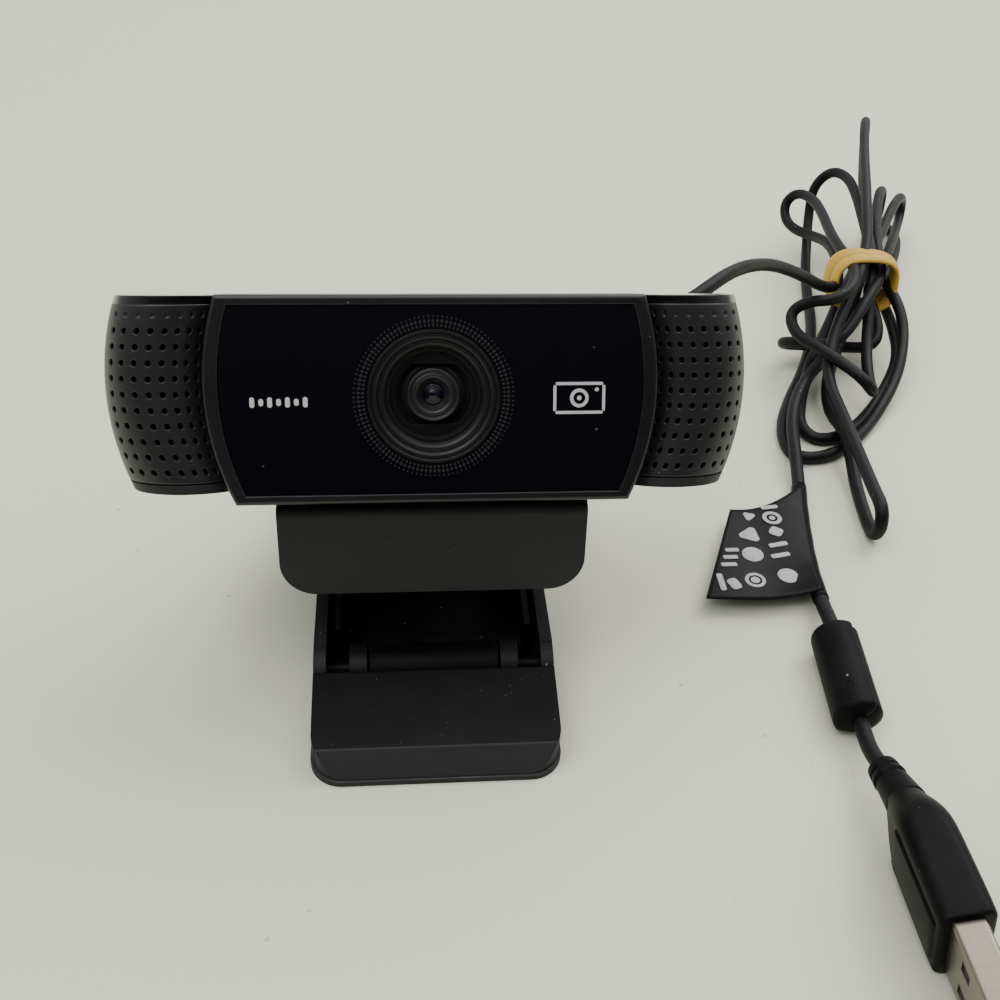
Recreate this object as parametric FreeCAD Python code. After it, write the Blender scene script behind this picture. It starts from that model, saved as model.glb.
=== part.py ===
import FreeCAD, Part
import math
import os
from FreeCAD import Placement, Rotation, Vector

# Desk camera standing on its own opened monitor clip. Millimetres, +Z up, the front faces -Y.
# The origin is under the middle of the camera and clip, on the surface that they stand on.

# Head
head_width = 94.0
head_height = 29.0
head_depth = 24.0
head_wall = 1.5
floor_thickness = 1.3
roof_thickness = 1.2
frame_step = 1.3           # the front frame stands this much lower than the wings' floor
side_arc_radius = 38.0     # every upright edge of the face bows on this radius
side_arc_height = 2.2      # the widest level, above the head's mid height
rear_corner_radius = 9.0
barrel_radius = 8.5        # rounded front of each wing
barrel_setback = 1.5       # the barrel's foremost line, behind the face
wing_width = 15.1
grille_thickness = 1.4
grille_return = 3.0        # straight side wall behind the barrel
head_tilt_up = 28.0        # degrees that the face looks up at rest
face_height = 52.4         # the face's centre over the table
face_setback = 25.7        # the face's centre behind the foot's front edge

# Front frame and window
frame_depth = 9.5
frame_proud = 0.15         # the frame stands over the roof strip
frame_edge_radius = 0.6
window_inset = 2.1
window_margin = 1.35       # frame border over and under the window
window_recess = 0.25
window_thickness = 1.2
window_ledge = 1.5
snap_gap = 0.06

# Optics, on the lens axis
lens_height = 0.5
trim_radius = 9.4
trim_throat = 6.8
trim_flange = 11.3
trim_depth = 2.4
cup_depth = 2.6
cup_wall = 0.5
lens_barrel_radius = 3.8
barrel_side_gap = 1.6      # the cup's opening, clear of the barrel
barrel_flat_gap = 0.5
lens_radius = 2.4
lens_barrel_length = 5.4
lens_barrel_front = 3.0
coil_thickness = 0.8
coil_length = 1.8
coil_gap = 0.3
holder_wall = 0.3          # beside the magnets
holder_front = 5.3
holder_length = 5.6
sensor_chamber = 8.0
sensor_chamber_depth = 1.5
magnet_size = 1.6
magnet_tuck = 0.2          # the magnets' centres, inside the coil's outline

# Boards
board_thickness = 1.1
sensor_board_width = 18.0
sensor_board_height = 16.0
chassis_front = 12.2
chassis_thickness = 1.2
chassis_height = 20.0
main_board_width = 54.0
main_board_height = 18.0
main_board_gap = 1.3
chip_size = 10.0
chip_height = 1.0
spreader_width = 36.0
spreader_height = 15.0
spreader_thickness = 0.8
board_lift = 1.5           # boards sit above the mid height to clear the tilt lug
post_radius = 1.3
screw_radius = 0.7
screw_head_radius = 1.2
screw_head_height = 0.9
screw_bite = 3.0
mic_board_width = 8.0
mic_board_height = 10.0
mic_radius = 1.7
mic_height = 1.1

# Tilt joint under the head
tilt_axis_depth = 14.0
tilt_axis_over_floor = 1.1
tilt_lug_radius = 3.0
tilt_lug_half = 5.7
tilt_ear_width = 3.5
tilt_pin_radius = 1.25
tilt_web_half = 2.0
washer_thickness = 0.25
washer_slack = 0.02
running_gap = 0.05
ear_clearance = 0.4

# Clip plate and lip
plate_slope = 24.6         # degrees that the plate rises to the front
plate_width = 46.0
plate_thickness = 3.2
plate_offset = -0.2        # the plate's underside over the rear hinge axis
plate_length = 58.85
plate_rear_width = 37.0
lip_width = 46.5
lip_drop = 14.9
lip_thickness = 2.6
lip_lean = 13.8
lip_corner = 5.5
lip_brow = 1.6             # rounding along the lip's top front edge
pad_thickness = 0.8
pad_margin = 3.2
lip_pad_gap = 3.0          # between the plate's underside and the lip's pad
rear_hinge_height = 7.5
rear_hinge_setback = 76.0
knuckle_radius = 5.5
rear_pin_radius = 1.5
arm_knuckle_half = 9.7
plate_knuckle_width = 8.5

# Arm
arm_width = 38.0
arm_height = 10.0
arm_floor = 2.0
arm_wall = 2.0
arm_rear_block = 5.0
arm_hinge_gap = 3.5
rail_thickness = 1.0
rail_gap = 1.0
rail_height = 9.0
insert_radius = 4.5
thread_radius = 3.175
insert_length = 6.5
insert_wall = 1.5
insert_setback = 45.0

# Foot
foot_width = 38.0
foot_front_height = 5.5
foot_rear_height = 8.3
foot_length = 15.6
foot_rake = 2.4
foot_corner = 5.0
foot_pad_thickness = 1.0
foot_pad_proud = 0.3
foot_pin_setback = 19.5
foot_pin_height = 4.9
foot_pin_radius = 1.0
foot_gap = 0.35
tongue_half = 10.2
tongue_gap = 0.4
tongue_radius = 3.9
arm_ear_width = 2.8

# Cord and what is on it
cord_radius = 1.3
gland_x = 31.0
gland_height = 0.6
gland_length = 6.0
gland_root_radius = 3.2
gland_tip_radius = 2.0
gland_neck_radius = 2.6
gland_flange_radius = 3.6
ferrite_radius = 4.2
ferrite_length = 19.0
ferrite_wall = 1.0
plug_width = 7.8
plug_height = 14.5
plug_length = 23.0
plug_lean = -12.0
relief_root_radius = 3.2
relief_tip_radius = 2.0
shell_width = 4.5
shell_height = 12.0
shell_length = 11.8
shell_sheet = 0.3
tongue_thickness = 1.9
band_thickness = 1.2
band_width = 7.0
label_thickness = 0.4
label_height = 3.1

overall_depth = rear_hinge_setback + knuckle_radius
front_y = -overall_depth / 2
half_width = head_width / 2
barrel_opening = lens_barrel_radius + barrel_side_gap
barrel_opening_flat = lens_barrel_radius + barrel_flat_gap
magnet_place = lens_barrel_radius + coil_thickness - magnet_tuck
holder_size = 2 * (magnet_place + magnet_size / 2 + holder_wall)
z_top = head_height / 2
z_floor = -head_height / 2 + frame_step
cut = 60.0                 # reach of cutting tools, past every piece

face_centre = Vector(0, front_y + face_setback, face_height)
head_frame = Placement(face_centre, Rotation(Vector(1, 0, 0), -head_tilt_up))
hinge_centre = Vector(0, front_y + rear_hinge_setback, rear_hinge_height)
plate_frame = Placement(hinge_centre, Rotation(Vector(1, 0, 0), -plate_slope))


def box(x0, x1, y0, y1, z0, z1):
    return Part.makeBox(x1 - x0, y1 - y0, z1 - z0, Vector(x0, y0, z0))


def cyl_x(radius, x0, x1, y, z):
    return Part.makeCylinder(radius, x1 - x0, Vector(x0, y, z), Vector(1, 0, 0))


def cyl_y(radius, y0, y1, x, z):
    return Part.makeCylinder(radius, y1 - y0, Vector(x, y0, z), Vector(0, 1, 0))


def cone_y(radius0, radius1, y0, y1, x, z):
    return Part.makeCone(radius0, radius1, y1 - y0, Vector(x, y0, z), Vector(0, 1, 0))


def cyl_z(radius, z0, z1, x, y):
    return Part.makeCylinder(radius, z1 - z0, Vector(x, y, z0), Vector(0, 0, 1))


def line(a, b):
    return Part.LineSegment(a, b).toShape()


def arc(a, b, c):
    return Part.Arc(a, b, c).toShape()


def mirrored(shape):
    return shape.mirror(Vector(0, 0, 0), Vector(1, 0, 0))


def across(point):
    return Vector(-point.x, point.y, point.z)


def both_sides(shape):
    return Part.makeCompound([shape, mirrored(shape)])


def in_head(shape):
    placed = shape.copy()
    placed.Placement = head_frame.multiply(placed.Placement)
    return placed


def on_plate(shape):
    placed = shape.copy()
    placed.Placement = plate_frame.multiply(placed.Placement)
    return placed


def save(name, shape):
    solids = shape.Solids
    for solid in solids:
        if not solid.isValid():
            raise ValueError(name + " has a broken solid")
    if not solids:
        raise ValueError(name + " is empty")
    body = solids[0] if len(solids) == 1 else Part.makeCompound(solids)
    body.exportStep("parts/" + name + ".step")
    print(name, len(solids), round(sum(s.Volume for s in solids), 1))


# Outlines of the head ------------------------------------------------------------------------

def side_shift(z):
    """How far an upright edge has come in at this height from its widest place."""
    return side_arc_radius - math.sqrt(side_arc_radius ** 2 - (z - side_arc_height) ** 2)


def barrel_front(z, inset):
    """Points of one wing's rounded front at height z: beside the frame, foremost, and side."""
    w = half_width - side_shift(z)
    radius = barrel_radius - inset
    middle = Vector(w - barrel_radius, barrel_setback + barrel_radius, z)
    inner_x = w - wing_width
    drop = math.sqrt(radius ** 2 - (middle.x - inner_x) ** 2)
    beside = Vector(inner_x, middle.y - drop, z)
    half = math.pi / 4
    crown = middle + Vector(radius * math.cos(half), -radius * math.sin(half), 0)
    return beside, crown, Vector(w - inset, middle.y, z)


def plan_wire(z, inset):
    """The head's outline seen from above, at height z."""
    beside, crown, side = barrel_front(z, inset)
    w = half_width - side_shift(z)
    radius = rear_corner_radius - inset
    centre = Vector(w - rear_corner_radius, head_depth - rear_corner_radius, z)
    bend_start = Vector(w - inset, centre.y, z)
    bend_middle = centre + Vector(radius * math.sqrt(0.5), radius * math.sqrt(0.5), 0)
    bend_end = Vector(centre.x, head_depth - inset, z)
    right = [arc(beside, crown, side), line(side, bend_start),
             arc(bend_start, bend_middle, bend_end)]
    left = [mirrored(edge) for edge in right]
    front = line(across(beside), beside)
    back = line(bend_end, across(bend_end))
    return Part.Wire(Part.__sortEdges__([front] + right + [back] + left))


def levels(z0, z1, count=5):
    return [z0 + (z1 - z0) * i / (count - 1) for i in range(count)]


def side_profile(inset, z0, z1):
    """The head's outline seen from the side, rounded at its back, as a long bar along X."""
    r = rear_corner_radius - inset
    back = head_depth - inset
    bend = head_depth - rear_corner_radius
    q = r * math.sqrt(0.5)
    p = [Vector(-cut, -5, z0), Vector(-cut, bend, z0), Vector(-cut, bend + q, z0 + r - q),
         Vector(-cut, back, z0 + r), Vector(-cut, back, z1 - r),
         Vector(-cut, bend + q, z1 - r + q), Vector(-cut, bend, z1), Vector(-cut, -5, z1)]
    edges = [line(p[0], p[1]), arc(p[1], p[2], p[3]), line(p[3], p[4]),
             arc(p[4], p[5], p[6]), line(p[6], p[7]), line(p[7], p[0])]
    return Part.Face(Part.Wire(edges)).extrude(Vector(2 * cut, 0, 0))


def head_solid(inset, z0, z1):
    body = Part.makeLoft([plan_wire(z, inset) for z in levels(z0, z1)], True, False)
    return body.common(side_profile(inset, z0, z1))


def face_panel(half, z0, z1, y0, y1):
    """A panel between bowed upright edges, as the frame and the window are."""
    x = [half - side_shift(z) for z in (z0, side_arc_height, z1)]
    low, mid, top = Vector(x[0], y0, z0), Vector(x[1], y0, side_arc_height), Vector(x[2], y0, z1)
    right = arc(low, mid, top)
    left = mirrored(right)
    edges = [right, left, line(top, Vector(-top.x, y0, z1)), line(low, Vector(-low.x, y0, z0))]
    return Part.Face(Part.Wire(Part.__sortEdges__(edges))).extrude(Vector(0, y1 - y0, 0))


frame_half = half_width - wing_width
frame_top = z_top + frame_proud
frame_bottom = -z_top - frame_proud
window_half = frame_half - window_inset
window_top = frame_top - window_margin
window_bottom = frame_bottom + window_margin
window_back = window_recess + window_thickness
roof_under = z_top - roof_thickness
floor_top = z_floor + floor_thickness
side_wall_front = barrel_setback + barrel_radius + grille_return
roof_back = head_depth - rear_corner_radius
tilt_y = tilt_axis_depth
tilt_z = z_floor + tilt_axis_over_floor
ear_inner = tilt_lug_half + washer_thickness + 2 * washer_slack
ear_outer = ear_inner + tilt_ear_width
main_board_front = chassis_front + chassis_thickness + main_board_gap
main_board_back = main_board_front + board_thickness
post_x = frame_half - window_inset - window_ledge / 2 + post_radius / 2
post_z = 8.0


# Head shells ---------------------------------------------------------------------------------

def make_frame():
    body = face_panel(frame_half, frame_bottom, frame_top, 0, frame_depth)
    rim = [e for e in body.Edges if max(v.Y for v in e.Vertexes) < 0.01]
    body = body.makeFillet(frame_edge_radius, rim)
    body = body.cut(face_panel(window_half, window_bottom, window_top, -1, window_back))
    body = body.cut(face_panel(window_half - window_ledge, window_bottom + window_ledge,
                               window_top - window_ledge, -1, frame_depth + 1))
    for x, z in post_places():
        body = body.cut(cyl_y(screw_radius, frame_depth - screw_bite, frame_depth + 1, x, z))
    return body


def post_places():
    places = []
    for z in (-post_z, post_z):
        x = post_x - side_shift(z)
        places += [(x, z), (-x, z)]
    return places


def make_window():
    body = face_panel(window_half - snap_gap, window_bottom + snap_gap, window_top - snap_gap,
                      window_recess, window_back)
    return body.cut(cyl_y(trim_radius + snap_gap, -1, window_back + 1, 0, lens_height))


def frame_room():
    """The space that the front frame takes out of the shells behind it."""
    return face_panel(frame_half + snap_gap, frame_bottom - 1, frame_top + 1, -2,
                      frame_depth + snap_gap)


def make_roof_strip():
    strip = head_solid(0, z_floor, z_top)
    strip = strip.common(box(-cut, cut, -1, roof_back, roof_under, z_top + 1))
    return strip.cut(frame_room())


def make_rear_housing():
    body = head_solid(0, z_floor, z_top)
    hollow = head_solid(head_wall, floor_top, roof_under)
    body = body.cut(hollow)
    body = body.cut(box(-cut, cut, -1, roof_back, roof_under, z_top + 1))
    body = body.cut(box(-cut, cut, -1, side_wall_front, floor_top, z_top + 1))
    body = body.cut(frame_room())
    lug = cyl_x(tilt_lug_radius, -tilt_lug_half, tilt_lug_half, tilt_y, tilt_z)
    body = body.fuse(lug).removeSplitter()
    pocket = cyl_x(tilt_lug_radius + ear_clearance, tilt_lug_half, ear_outer + ear_clearance,
                   tilt_y, tilt_z)
    body = body.cut(pocket).cut(mirrored(pocket))
    body = body.cut(cyl_x(tilt_pin_radius + running_gap, -ear_outer, ear_outer, tilt_y, tilt_z))
    return body.cut(cyl_y(gland_neck_radius, head_depth - 2 * head_wall, head_depth + 1,
                          gland_x, gland_height))


def wing_skin(outer_inset, inner_inset, side_back):
    """A curved sheet that follows one wing's front, between two insets."""
    wires = []
    for z in levels(floor_top, roof_under):
        o_beside, o_crown, o_side = barrel_front(z, outer_inset)
        i_beside, i_crown, i_side = barrel_front(z, inner_inset)
        o_back = Vector(o_side.x, side_back, z)
        i_back = Vector(i_side.x, side_back, z)
        wires.append(Part.Wire([arc(o_beside, o_crown, o_side), line(o_side, o_back),
                                line(o_back, i_back), line(i_back, i_side),
                                arc(i_side, i_crown, i_beside), line(i_beside, o_beside)]))
    return Part.makeLoft(wires, True, False)


def make_grille():
    return wing_skin(0, grille_thickness, side_wall_front).cut(frame_room())


def make_cloth():
    skin = wing_skin(grille_thickness + 0.05, grille_thickness + 0.3,
                     barrel_setback + barrel_radius + 0.5)
    return skin.cut(frame_room())


# Optics --------------------------------------------------------------------------------------

def ring_y(outer, inner, y0, y1):
    return cyl_y(outer, y0, y1, 0, lens_height).cut(cyl_y(inner, y0 - 1, y1 + 1, 0, lens_height))


def make_trim_ring():
    front = window_recess
    back = front + trim_depth + 1.5
    body = cyl_y(trim_radius, front, back, 0, lens_height)
    body = body.fuse(cyl_y(trim_flange, window_back, window_back + 0.7, 0, lens_height))
    body = body.cut(cone_y(trim_radius - 0.3, trim_throat, front, front + trim_depth, 0, lens_height))
    return body.cut(cyl_y(trim_throat, front, back + 1, 0, lens_height)).removeSplitter()


def make_lens_cup():
    front = window_recess + trim_depth
    body = cyl_y(trim_throat, front, front + cup_depth, 0, lens_height)
    body = body.cut(cyl_y(trim_throat - cup_wall, front - 1, front + cup_depth / 2, 0, lens_height))
    opening = cyl_y(barrel_opening, front - 1, front + cup_depth + 1, 0, lens_height)
    return body.cut(opening.common(box(-cut, cut, -1, cut, lens_height - barrel_opening_flat,
                                       lens_height + barrel_opening_flat)))


def lens_element(front, thickness, bulge):
    """A disc with a domed front."""
    disc = cyl_y(lens_radius, front, front + thickness, 0, lens_height)
    radius = (lens_radius ** 2 + bulge ** 2) / (2 * bulge)
    dome = Part.makeSphere(radius, Vector(0, front - bulge + radius, lens_height))
    column = cyl_y(lens_radius, front - 2 * bulge, front, 0, lens_height)
    return disc.fuse(dome.common(column)).removeSplitter()


def make_lens_holder():
    half = holder_size / 2
    back = holder_front + holder_length
    body = box(-half, half, holder_front, back, lens_height - half, lens_height + half)
    bore = lens_barrel_radius + coil_thickness + coil_gap
    chamber = sensor_chamber / 2
    chamber_front = back - sensor_chamber_depth
    body = body.cut(cyl_y(bore, holder_front - 1, chamber_front - 0.5, 0, lens_height))
    body = body.cut(cyl_y(lens_radius, holder_front, back, 0, lens_height))
    body = body.cut(box(-chamber, chamber, chamber_front, back + 1,
                        lens_height - chamber, lens_height + chamber))
    return body.cut(make_magnets())


def make_magnets():
    blocks = []
    half = magnet_size / 2
    front = holder_front + 0.6
    for sx in (-1, 1):
        for sz in (-1, 1):
            x = sx * magnet_place
            z = lens_height + sz * magnet_place
            blocks.append(box(x - half, x + half, front, front + 2.6, z - half, z + half))
    return Part.makeCompound(blocks)


# Boards --------------------------------------------------------------------------------------

def make_chassis():
    half_h = chassis_height / 2
    width = post_x
    body = box(-width, width, chassis_front, chassis_front + chassis_thickness,
               board_lift - half_h, board_lift + half_h)
    for x, z in post_places():
        body = body.fuse(cyl_y(post_radius, frame_depth + snap_gap,
                               chassis_front + chassis_thickness, x, z))
    for x, z in post_places():
        body = body.cut(cyl_y(screw_radius, frame_depth - 1, cut, x, z))
    return body.removeSplitter()


def make_chassis_screws():
    screws = []
    seat = chassis_front + chassis_thickness
    for x, z in post_places():
        stem = cyl_y(screw_radius, frame_depth - screw_bite, seat, x, z)
        cap = cyl_y(screw_head_radius, seat, seat + screw_head_height, x, z)
        screws.append(stem.fuse(cap).removeSplitter())
    return Part.makeCompound(screws)


def board(width, height, front, thickness):
    return box(-width / 2, width / 2, front, front + thickness,
               board_lift - height / 2, board_lift + height / 2)


# Clip plate ----------------------------------------------------------------------------------

tilt_centre_on_plate = plate_frame.inverse().multVec(head_frame.multVec(Vector(0, tilt_y, tilt_z)))


def lean_lip(shape):
    shape.rotate(Vector(0, 0, 0), Vector(1, 0, 0), lip_lean)
    shape.translate(Vector(0, -plate_length, plate_offset + plate_thickness))
    return shape


def make_clip_plate():
    z0 = plate_offset
    z1 = plate_offset + plate_thickness
    half = plate_width / 2
    rear = plate_rear_width / 2
    front = -plate_length + lip_brow + 0.4
    corners = [(rear, 0), (rear, -14), (half, -24), (half, front),
               (-half, front), (-half, -24), (-rear, -14), (-rear, 0)]
    points = [Vector(x, y, z0) for x, y in corners]
    edges = [line(points[i], points[(i + 1) % len(points)]) for i in range(len(points))]
    body = Part.Face(Part.Wire(edges)).extrude(Vector(0, 0, z1 - z0))
    lip = box(-lip_width / 2, lip_width / 2, 0, lip_thickness, -lip_drop, 0)
    low = [e for e in lip.Edges if abs(e.BoundBox.YLength - lip_thickness) < 0.01
           and e.BoundBox.ZMax < -lip_drop + 0.01]
    lip = lip.makeFillet(lip_corner, low)
    brow = [e for e in lip.Edges if e.BoundBox.ZMin > -0.01 and e.BoundBox.YMax < 0.01]
    lip = lip.makeFillet(lip_brow, brow)
    body = body.fuse(lean_lip(lip)).removeSplitter()
    gap = knuckle_radius + ear_clearance
    arm_room = arm_knuckle_half + washer_thickness + 2 * washer_slack
    body = body.cut(box(-arm_room, arm_room, -gap, gap, -gap, gap))
    body = body.cut(cyl_x(gap, -cut, cut, 0, 0))
    knuckle = cyl_x(knuckle_radius, arm_room, arm_room + plate_knuckle_width, 0, 0)
    bridge = box(arm_room, arm_room + plate_knuckle_width, -gap - 1, 0, z0, z1)
    knuckle = knuckle.fuse(bridge)
    body = body.fuse(knuckle).fuse(mirrored(knuckle))
    y, z = tilt_centre_on_plate.y, tilt_centre_on_plate.z
    ear = cyl_x(tilt_lug_radius, ear_inner, ear_outer, y, z)
    ear = ear.fuse(box(ear_inner, ear_outer, y - tilt_web_half, y + tilt_web_half, z1 - 1, z))
    body = body.fuse(ear).fuse(mirrored(ear)).removeSplitter()
    body = body.cut(cyl_x(tilt_pin_radius, -cut, cut, y, z))
    return body.cut(cyl_x(rear_pin_radius, -cut, cut, 0, 0))


def make_lip_pad():
    return lean_lip(box(-lip_width / 2 + pad_margin, lip_width / 2 - pad_margin, lip_thickness,
                        lip_thickness + pad_thickness, -lip_drop + pad_margin,
                        -plate_thickness - lip_pad_gap))


def make_plate_pad():
    return box(-plate_width / 2 + pad_margin, plate_width / 2 - pad_margin,
               -plate_length + 9.5, -24, plate_offset - pad_thickness, plate_offset)


def washers(inner_x, outer_radius, hole_radius, y, z):
    x0 = inner_x + washer_slack
    disc = cyl_x(outer_radius, x0, x0 + washer_thickness, y, z)
    return both_sides(disc.cut(cyl_x(hole_radius, -cut, cut, y, z)))


# Arm and foot --------------------------------------------------------------------------------

arm_back = rear_hinge_setback - knuckle_radius - arm_hinge_gap
foot_bore = foot_pin_radius + running_gap
nose_radius = foot_pin_height - running_gap
pin_y = front_y + foot_pin_setback


def make_arm():
    half = arm_width / 2
    inner = half - arm_wall
    y_back = front_y + arm_back
    y_recess = y_back - arm_rear_block
    ear_in = tongue_half + tongue_gap
    body = box(-half, half, pin_y, y_back, 0, arm_height)
    body = body.fuse(cyl_x(nose_radius, -half, half, pin_y, foot_pin_height))
    body = body.cut(box(-inner, inner, front_y, y_recess, arm_floor, arm_height + 1))
    for side in (-1, 1):
        x = side * (inner - rail_gap - rail_thickness / 2)
        body = body.fuse(box(x - rail_thickness / 2, x + rail_thickness / 2, pin_y + nose_radius,
                             y_recess, arm_floor / 2, rail_height))
    body = body.cut(cyl_x(tongue_radius + tongue_gap, -ear_in, ear_in, pin_y, foot_pin_height))
    body = body.cut(box(-ear_in, ear_in, front_y, pin_y, -1, arm_height + 1))
    ear = cyl_x(tongue_radius, ear_in, ear_in + arm_ear_width, pin_y, foot_pin_height)
    ear = ear.fuse(box(ear_in, ear_in + arm_ear_width, pin_y, pin_y + tongue_radius,
                       arm_floor / 2, foot_pin_height))
    body = body.fuse(ear).fuse(mirrored(ear))
    knuckle = cyl_x(knuckle_radius, -arm_knuckle_half, arm_knuckle_half, hinge_centre.y,
                    hinge_centre.z)
    bridge = box(-arm_knuckle_half, arm_knuckle_half, y_back - 1, hinge_centre.y,
                 rear_hinge_height - knuckle_radius, rear_hinge_height - plate_offset - 0.5)
    body = body.fuse(knuckle).fuse(bridge)
    insert_y = front_y + insert_setback
    body = body.fuse(cyl_z(insert_radius + insert_wall, 0, insert_length, 0, insert_y))
    body = body.cut(cyl_z(insert_radius, -1, insert_length + 1, 0, insert_y))
    body = body.cut(cyl_x(foot_pin_radius, -half + 0.8, half - 0.8, pin_y, foot_pin_height))
    body = body.cut(cyl_x(rear_pin_radius + running_gap, -cut, cut, hinge_centre.y,
                          hinge_centre.z))
    return body.removeSplitter()


def make_insert():
    insert_y = front_y + insert_setback
    sleeve = cyl_z(insert_radius, 0, insert_length, 0, insert_y)
    return sleeve.cut(cyl_z(thread_radius, -1, insert_length + 1, 0, insert_y))


def make_arm_pad():
    inner = arm_width / 2 - arm_wall - rail_gap - rail_thickness
    y0 = pin_y + nose_radius + 1
    y1 = front_y + arm_back - arm_rear_block
    pad = box(-inner, inner, y0, y1, arm_floor, arm_floor + pad_thickness)
    return pad.cut(cyl_z(insert_radius + insert_wall, 0, arm_height, 0, front_y + insert_setback))


def rounded_slab(half, y0, y1, z0, z1, corner):
    """A slab with its two front corners rounded."""
    slab = box(-half, half, y0, y1, z0, z1)
    upright = [e for e in slab.Edges if e.BoundBox.ZLength > z1 - z0 - 0.01
               and e.BoundBox.YMax < y0 + 0.01]
    return slab.makeFillet(corner, upright)


def make_foot():
    half = foot_width / 2
    reach = foot_pin_setback
    profile = [(foot_pad_proud, foot_pad_thickness), (foot_rake, foot_front_height),
               (foot_length, foot_rear_height), (reach, foot_rear_height),
               (reach, foot_pad_thickness)]
    points = [Vector(-half, front_y + y, z) for y, z in profile]
    edges = [line(points[i], points[(i + 1) % len(points)]) for i in range(len(points))]
    wedge = Part.Face(Part.Wire(edges)).extrude(Vector(foot_width, 0, 0))
    body = wedge.common(rounded_slab(half, front_y + foot_pad_proud, pin_y, 0, arm_height,
                                     foot_corner))
    body = body.cut(cyl_x(nose_radius + foot_gap, -cut, cut, pin_y, foot_pin_height))
    tongue = cyl_x(tongue_radius, -tongue_half, tongue_half, pin_y, foot_pin_height)
    neck = box(-tongue_half, tongue_half, front_y + foot_length - 3, pin_y,
               foot_pad_thickness + 0.6, foot_pin_height + 1.9)
    body = body.fuse(tongue).fuse(neck)
    return body.cut(cyl_x(foot_bore, -cut, cut, pin_y, foot_pin_height)).removeSplitter()


def make_foot_pad():
    return rounded_slab(foot_width / 2 + foot_pad_proud, front_y, front_y + foot_length - 0.1, 0,
                        foot_pad_thickness, foot_corner)


# Cord ----------------------------------------------------------------------------------------

def cord_tube(name, points, radius):
    """Straight runs joined by the largest tangent arcs that they leave room for."""
    runs = [(points[i + 1] - points[i]).Length for i in range(len(points) - 1)]
    edges = []
    here = points[0]
    radii = []
    for i in range(1, len(points) - 1):
        before = (points[i] - points[i - 1]).normalize()
        after = (points[i + 1] - points[i]).normalize()
        turn = before.getAngle(after)
        reach = 0.45 * min(runs[i - 1], runs[i])
        bend = reach / math.tan(turn / 2)
        start = points[i] - before * reach
        end = points[i] + after * reach
        inward = (after - before).normalize()
        centre = points[i] + inward * (bend / math.cos(turn / 2))
        middle = centre - inward * bend
        edges += [line(here, start), arc(start, middle, end)]
        here = end
        radii.append(round(bend, 1))
    edges.append(line(here, points[-1]))
    path = Part.Wire(edges)
    circle = Part.Wire(Part.makeCircle(radius, points[0], points[1] - points[0]))
    tube = path.makePipeShell([circle], True, True)
    expected = math.pi * radius ** 2 * path.Length
    print(name, "bend radii", radii, "length", round(path.Length, 1),
          "volume ratio", round(tube.Volume / expected, 4))
    return tube


gland_tip = head_frame.multVec(Vector(gland_x, head_depth + gland_length, gland_height))
gland_way = head_frame.Rotation.multVec(Vector(0, 1, 0))


def make_gland():
    y0 = head_depth
    body = cone_y(gland_root_radius, gland_tip_radius, y0, y0 + gland_length, gland_x, gland_height)
    neck = cyl_y(gland_neck_radius, y0 - head_wall, y0, gland_x, gland_height)
    flange = cyl_y(gland_flange_radius, y0 - head_wall - 1, y0 - head_wall, gland_x, gland_height)
    body = body.fuse(neck).fuse(flange).removeSplitter()
    return body.cut(cyl_y(cord_radius, y0 - 10, y0 + 10, gland_x, gland_height))


def make_inner_lead():
    return cyl_y(cord_radius, head_depth - head_wall - 3, head_depth + gland_length, gland_x,
                 gland_height)


lead_points = [gland_tip, gland_tip + gland_way * 9, Vector(35.0, 25.5, 34.0),
               Vector(42.0, 29.5, 37.5), Vector(50.0, 33.5, 41.5), Vector(58.5, 43.0, 42.0),
               Vector(69.0, 55.5, 37.0), Vector(80.0, 66.5, 29.5), Vector(93.0, 79.5, 19.5)]

# the tied hank, as sections along Y: y, low x, high x, low z, high z
hank_sections = [(9.0, 82.0, 90.0, 0.0, 10.0), (38.0, 74.0, 101.0, 0.0, 11.0),
                 (62.0, 79.0, 112.0, 0.0, 16.0), (84.0, 97.5, 115.0, 9.0, 24.0),
                 (92.0, 97.5, 115.0, 9.0, 24.0), (106.0, 99.0, 120.0, 2.0, 27.0),
                 (128.0, 99.0, 133.0, 0.0, 30.0), (148.0, 112.0, 141.0, 0.0, 31.0),
                 (162.0, 124.0, 133.0, 14.0, 31.0)]
band_section = 3


def hank_wire(y, x0, x1, z0, z1):
    p = [Vector(x0, y, z0), Vector(x1, y, z0), Vector(x1, y, z1), Vector(x0, y, z1)]
    return Part.Wire([line(p[i], p[(i + 1) % 4]) for i in range(4)])


def make_hank():
    return Part.makeLoft([hank_wire(*s) for s in hank_sections], True, True)


def make_band():
    y0, x0, x1, z0, z1 = hank_sections[band_section]
    y1 = hank_sections[band_section + 1][0]
    middle = (y0 + y1) / 2
    t = band_thickness
    ring = box(x0 - t, x1 + t, middle - band_width / 2, middle + band_width / 2, z0 - t, z1 + t)
    return ring.cut(box(x0, x1, y0, y1, z0, z1))


ferrite_back = Vector(68.7, -16.2, ferrite_radius)
ferrite_way = Vector(-0.09, -1, 0).normalize()
ferrite_front = ferrite_back + ferrite_way * ferrite_length
ferrite_lead_in = ferrite_back - ferrite_way * 9 - Vector(0, 0, 1.2)
tail_points = [Vector(79.5, 40.0, 3.0), Vector(75.2, 31.0, 1.7), Vector(72.0, 17.5, 1.5),
               Vector(70.0, 3.5, 1.5), ferrite_lead_in, ferrite_back - ferrite_way * 3,
               ferrite_back]
relief_tip = Vector(66.6, -45.0, 5.6)
plug_back = Vector(67.0, -52.0, 7.3)
plug_way = Vector(0, -1, 0)
relief_way = (plug_back - relief_tip).normalize()
plug_points = [ferrite_front, ferrite_front + ferrite_way * 3.6,
               relief_tip - relief_way * 3.6, relief_tip]


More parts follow.
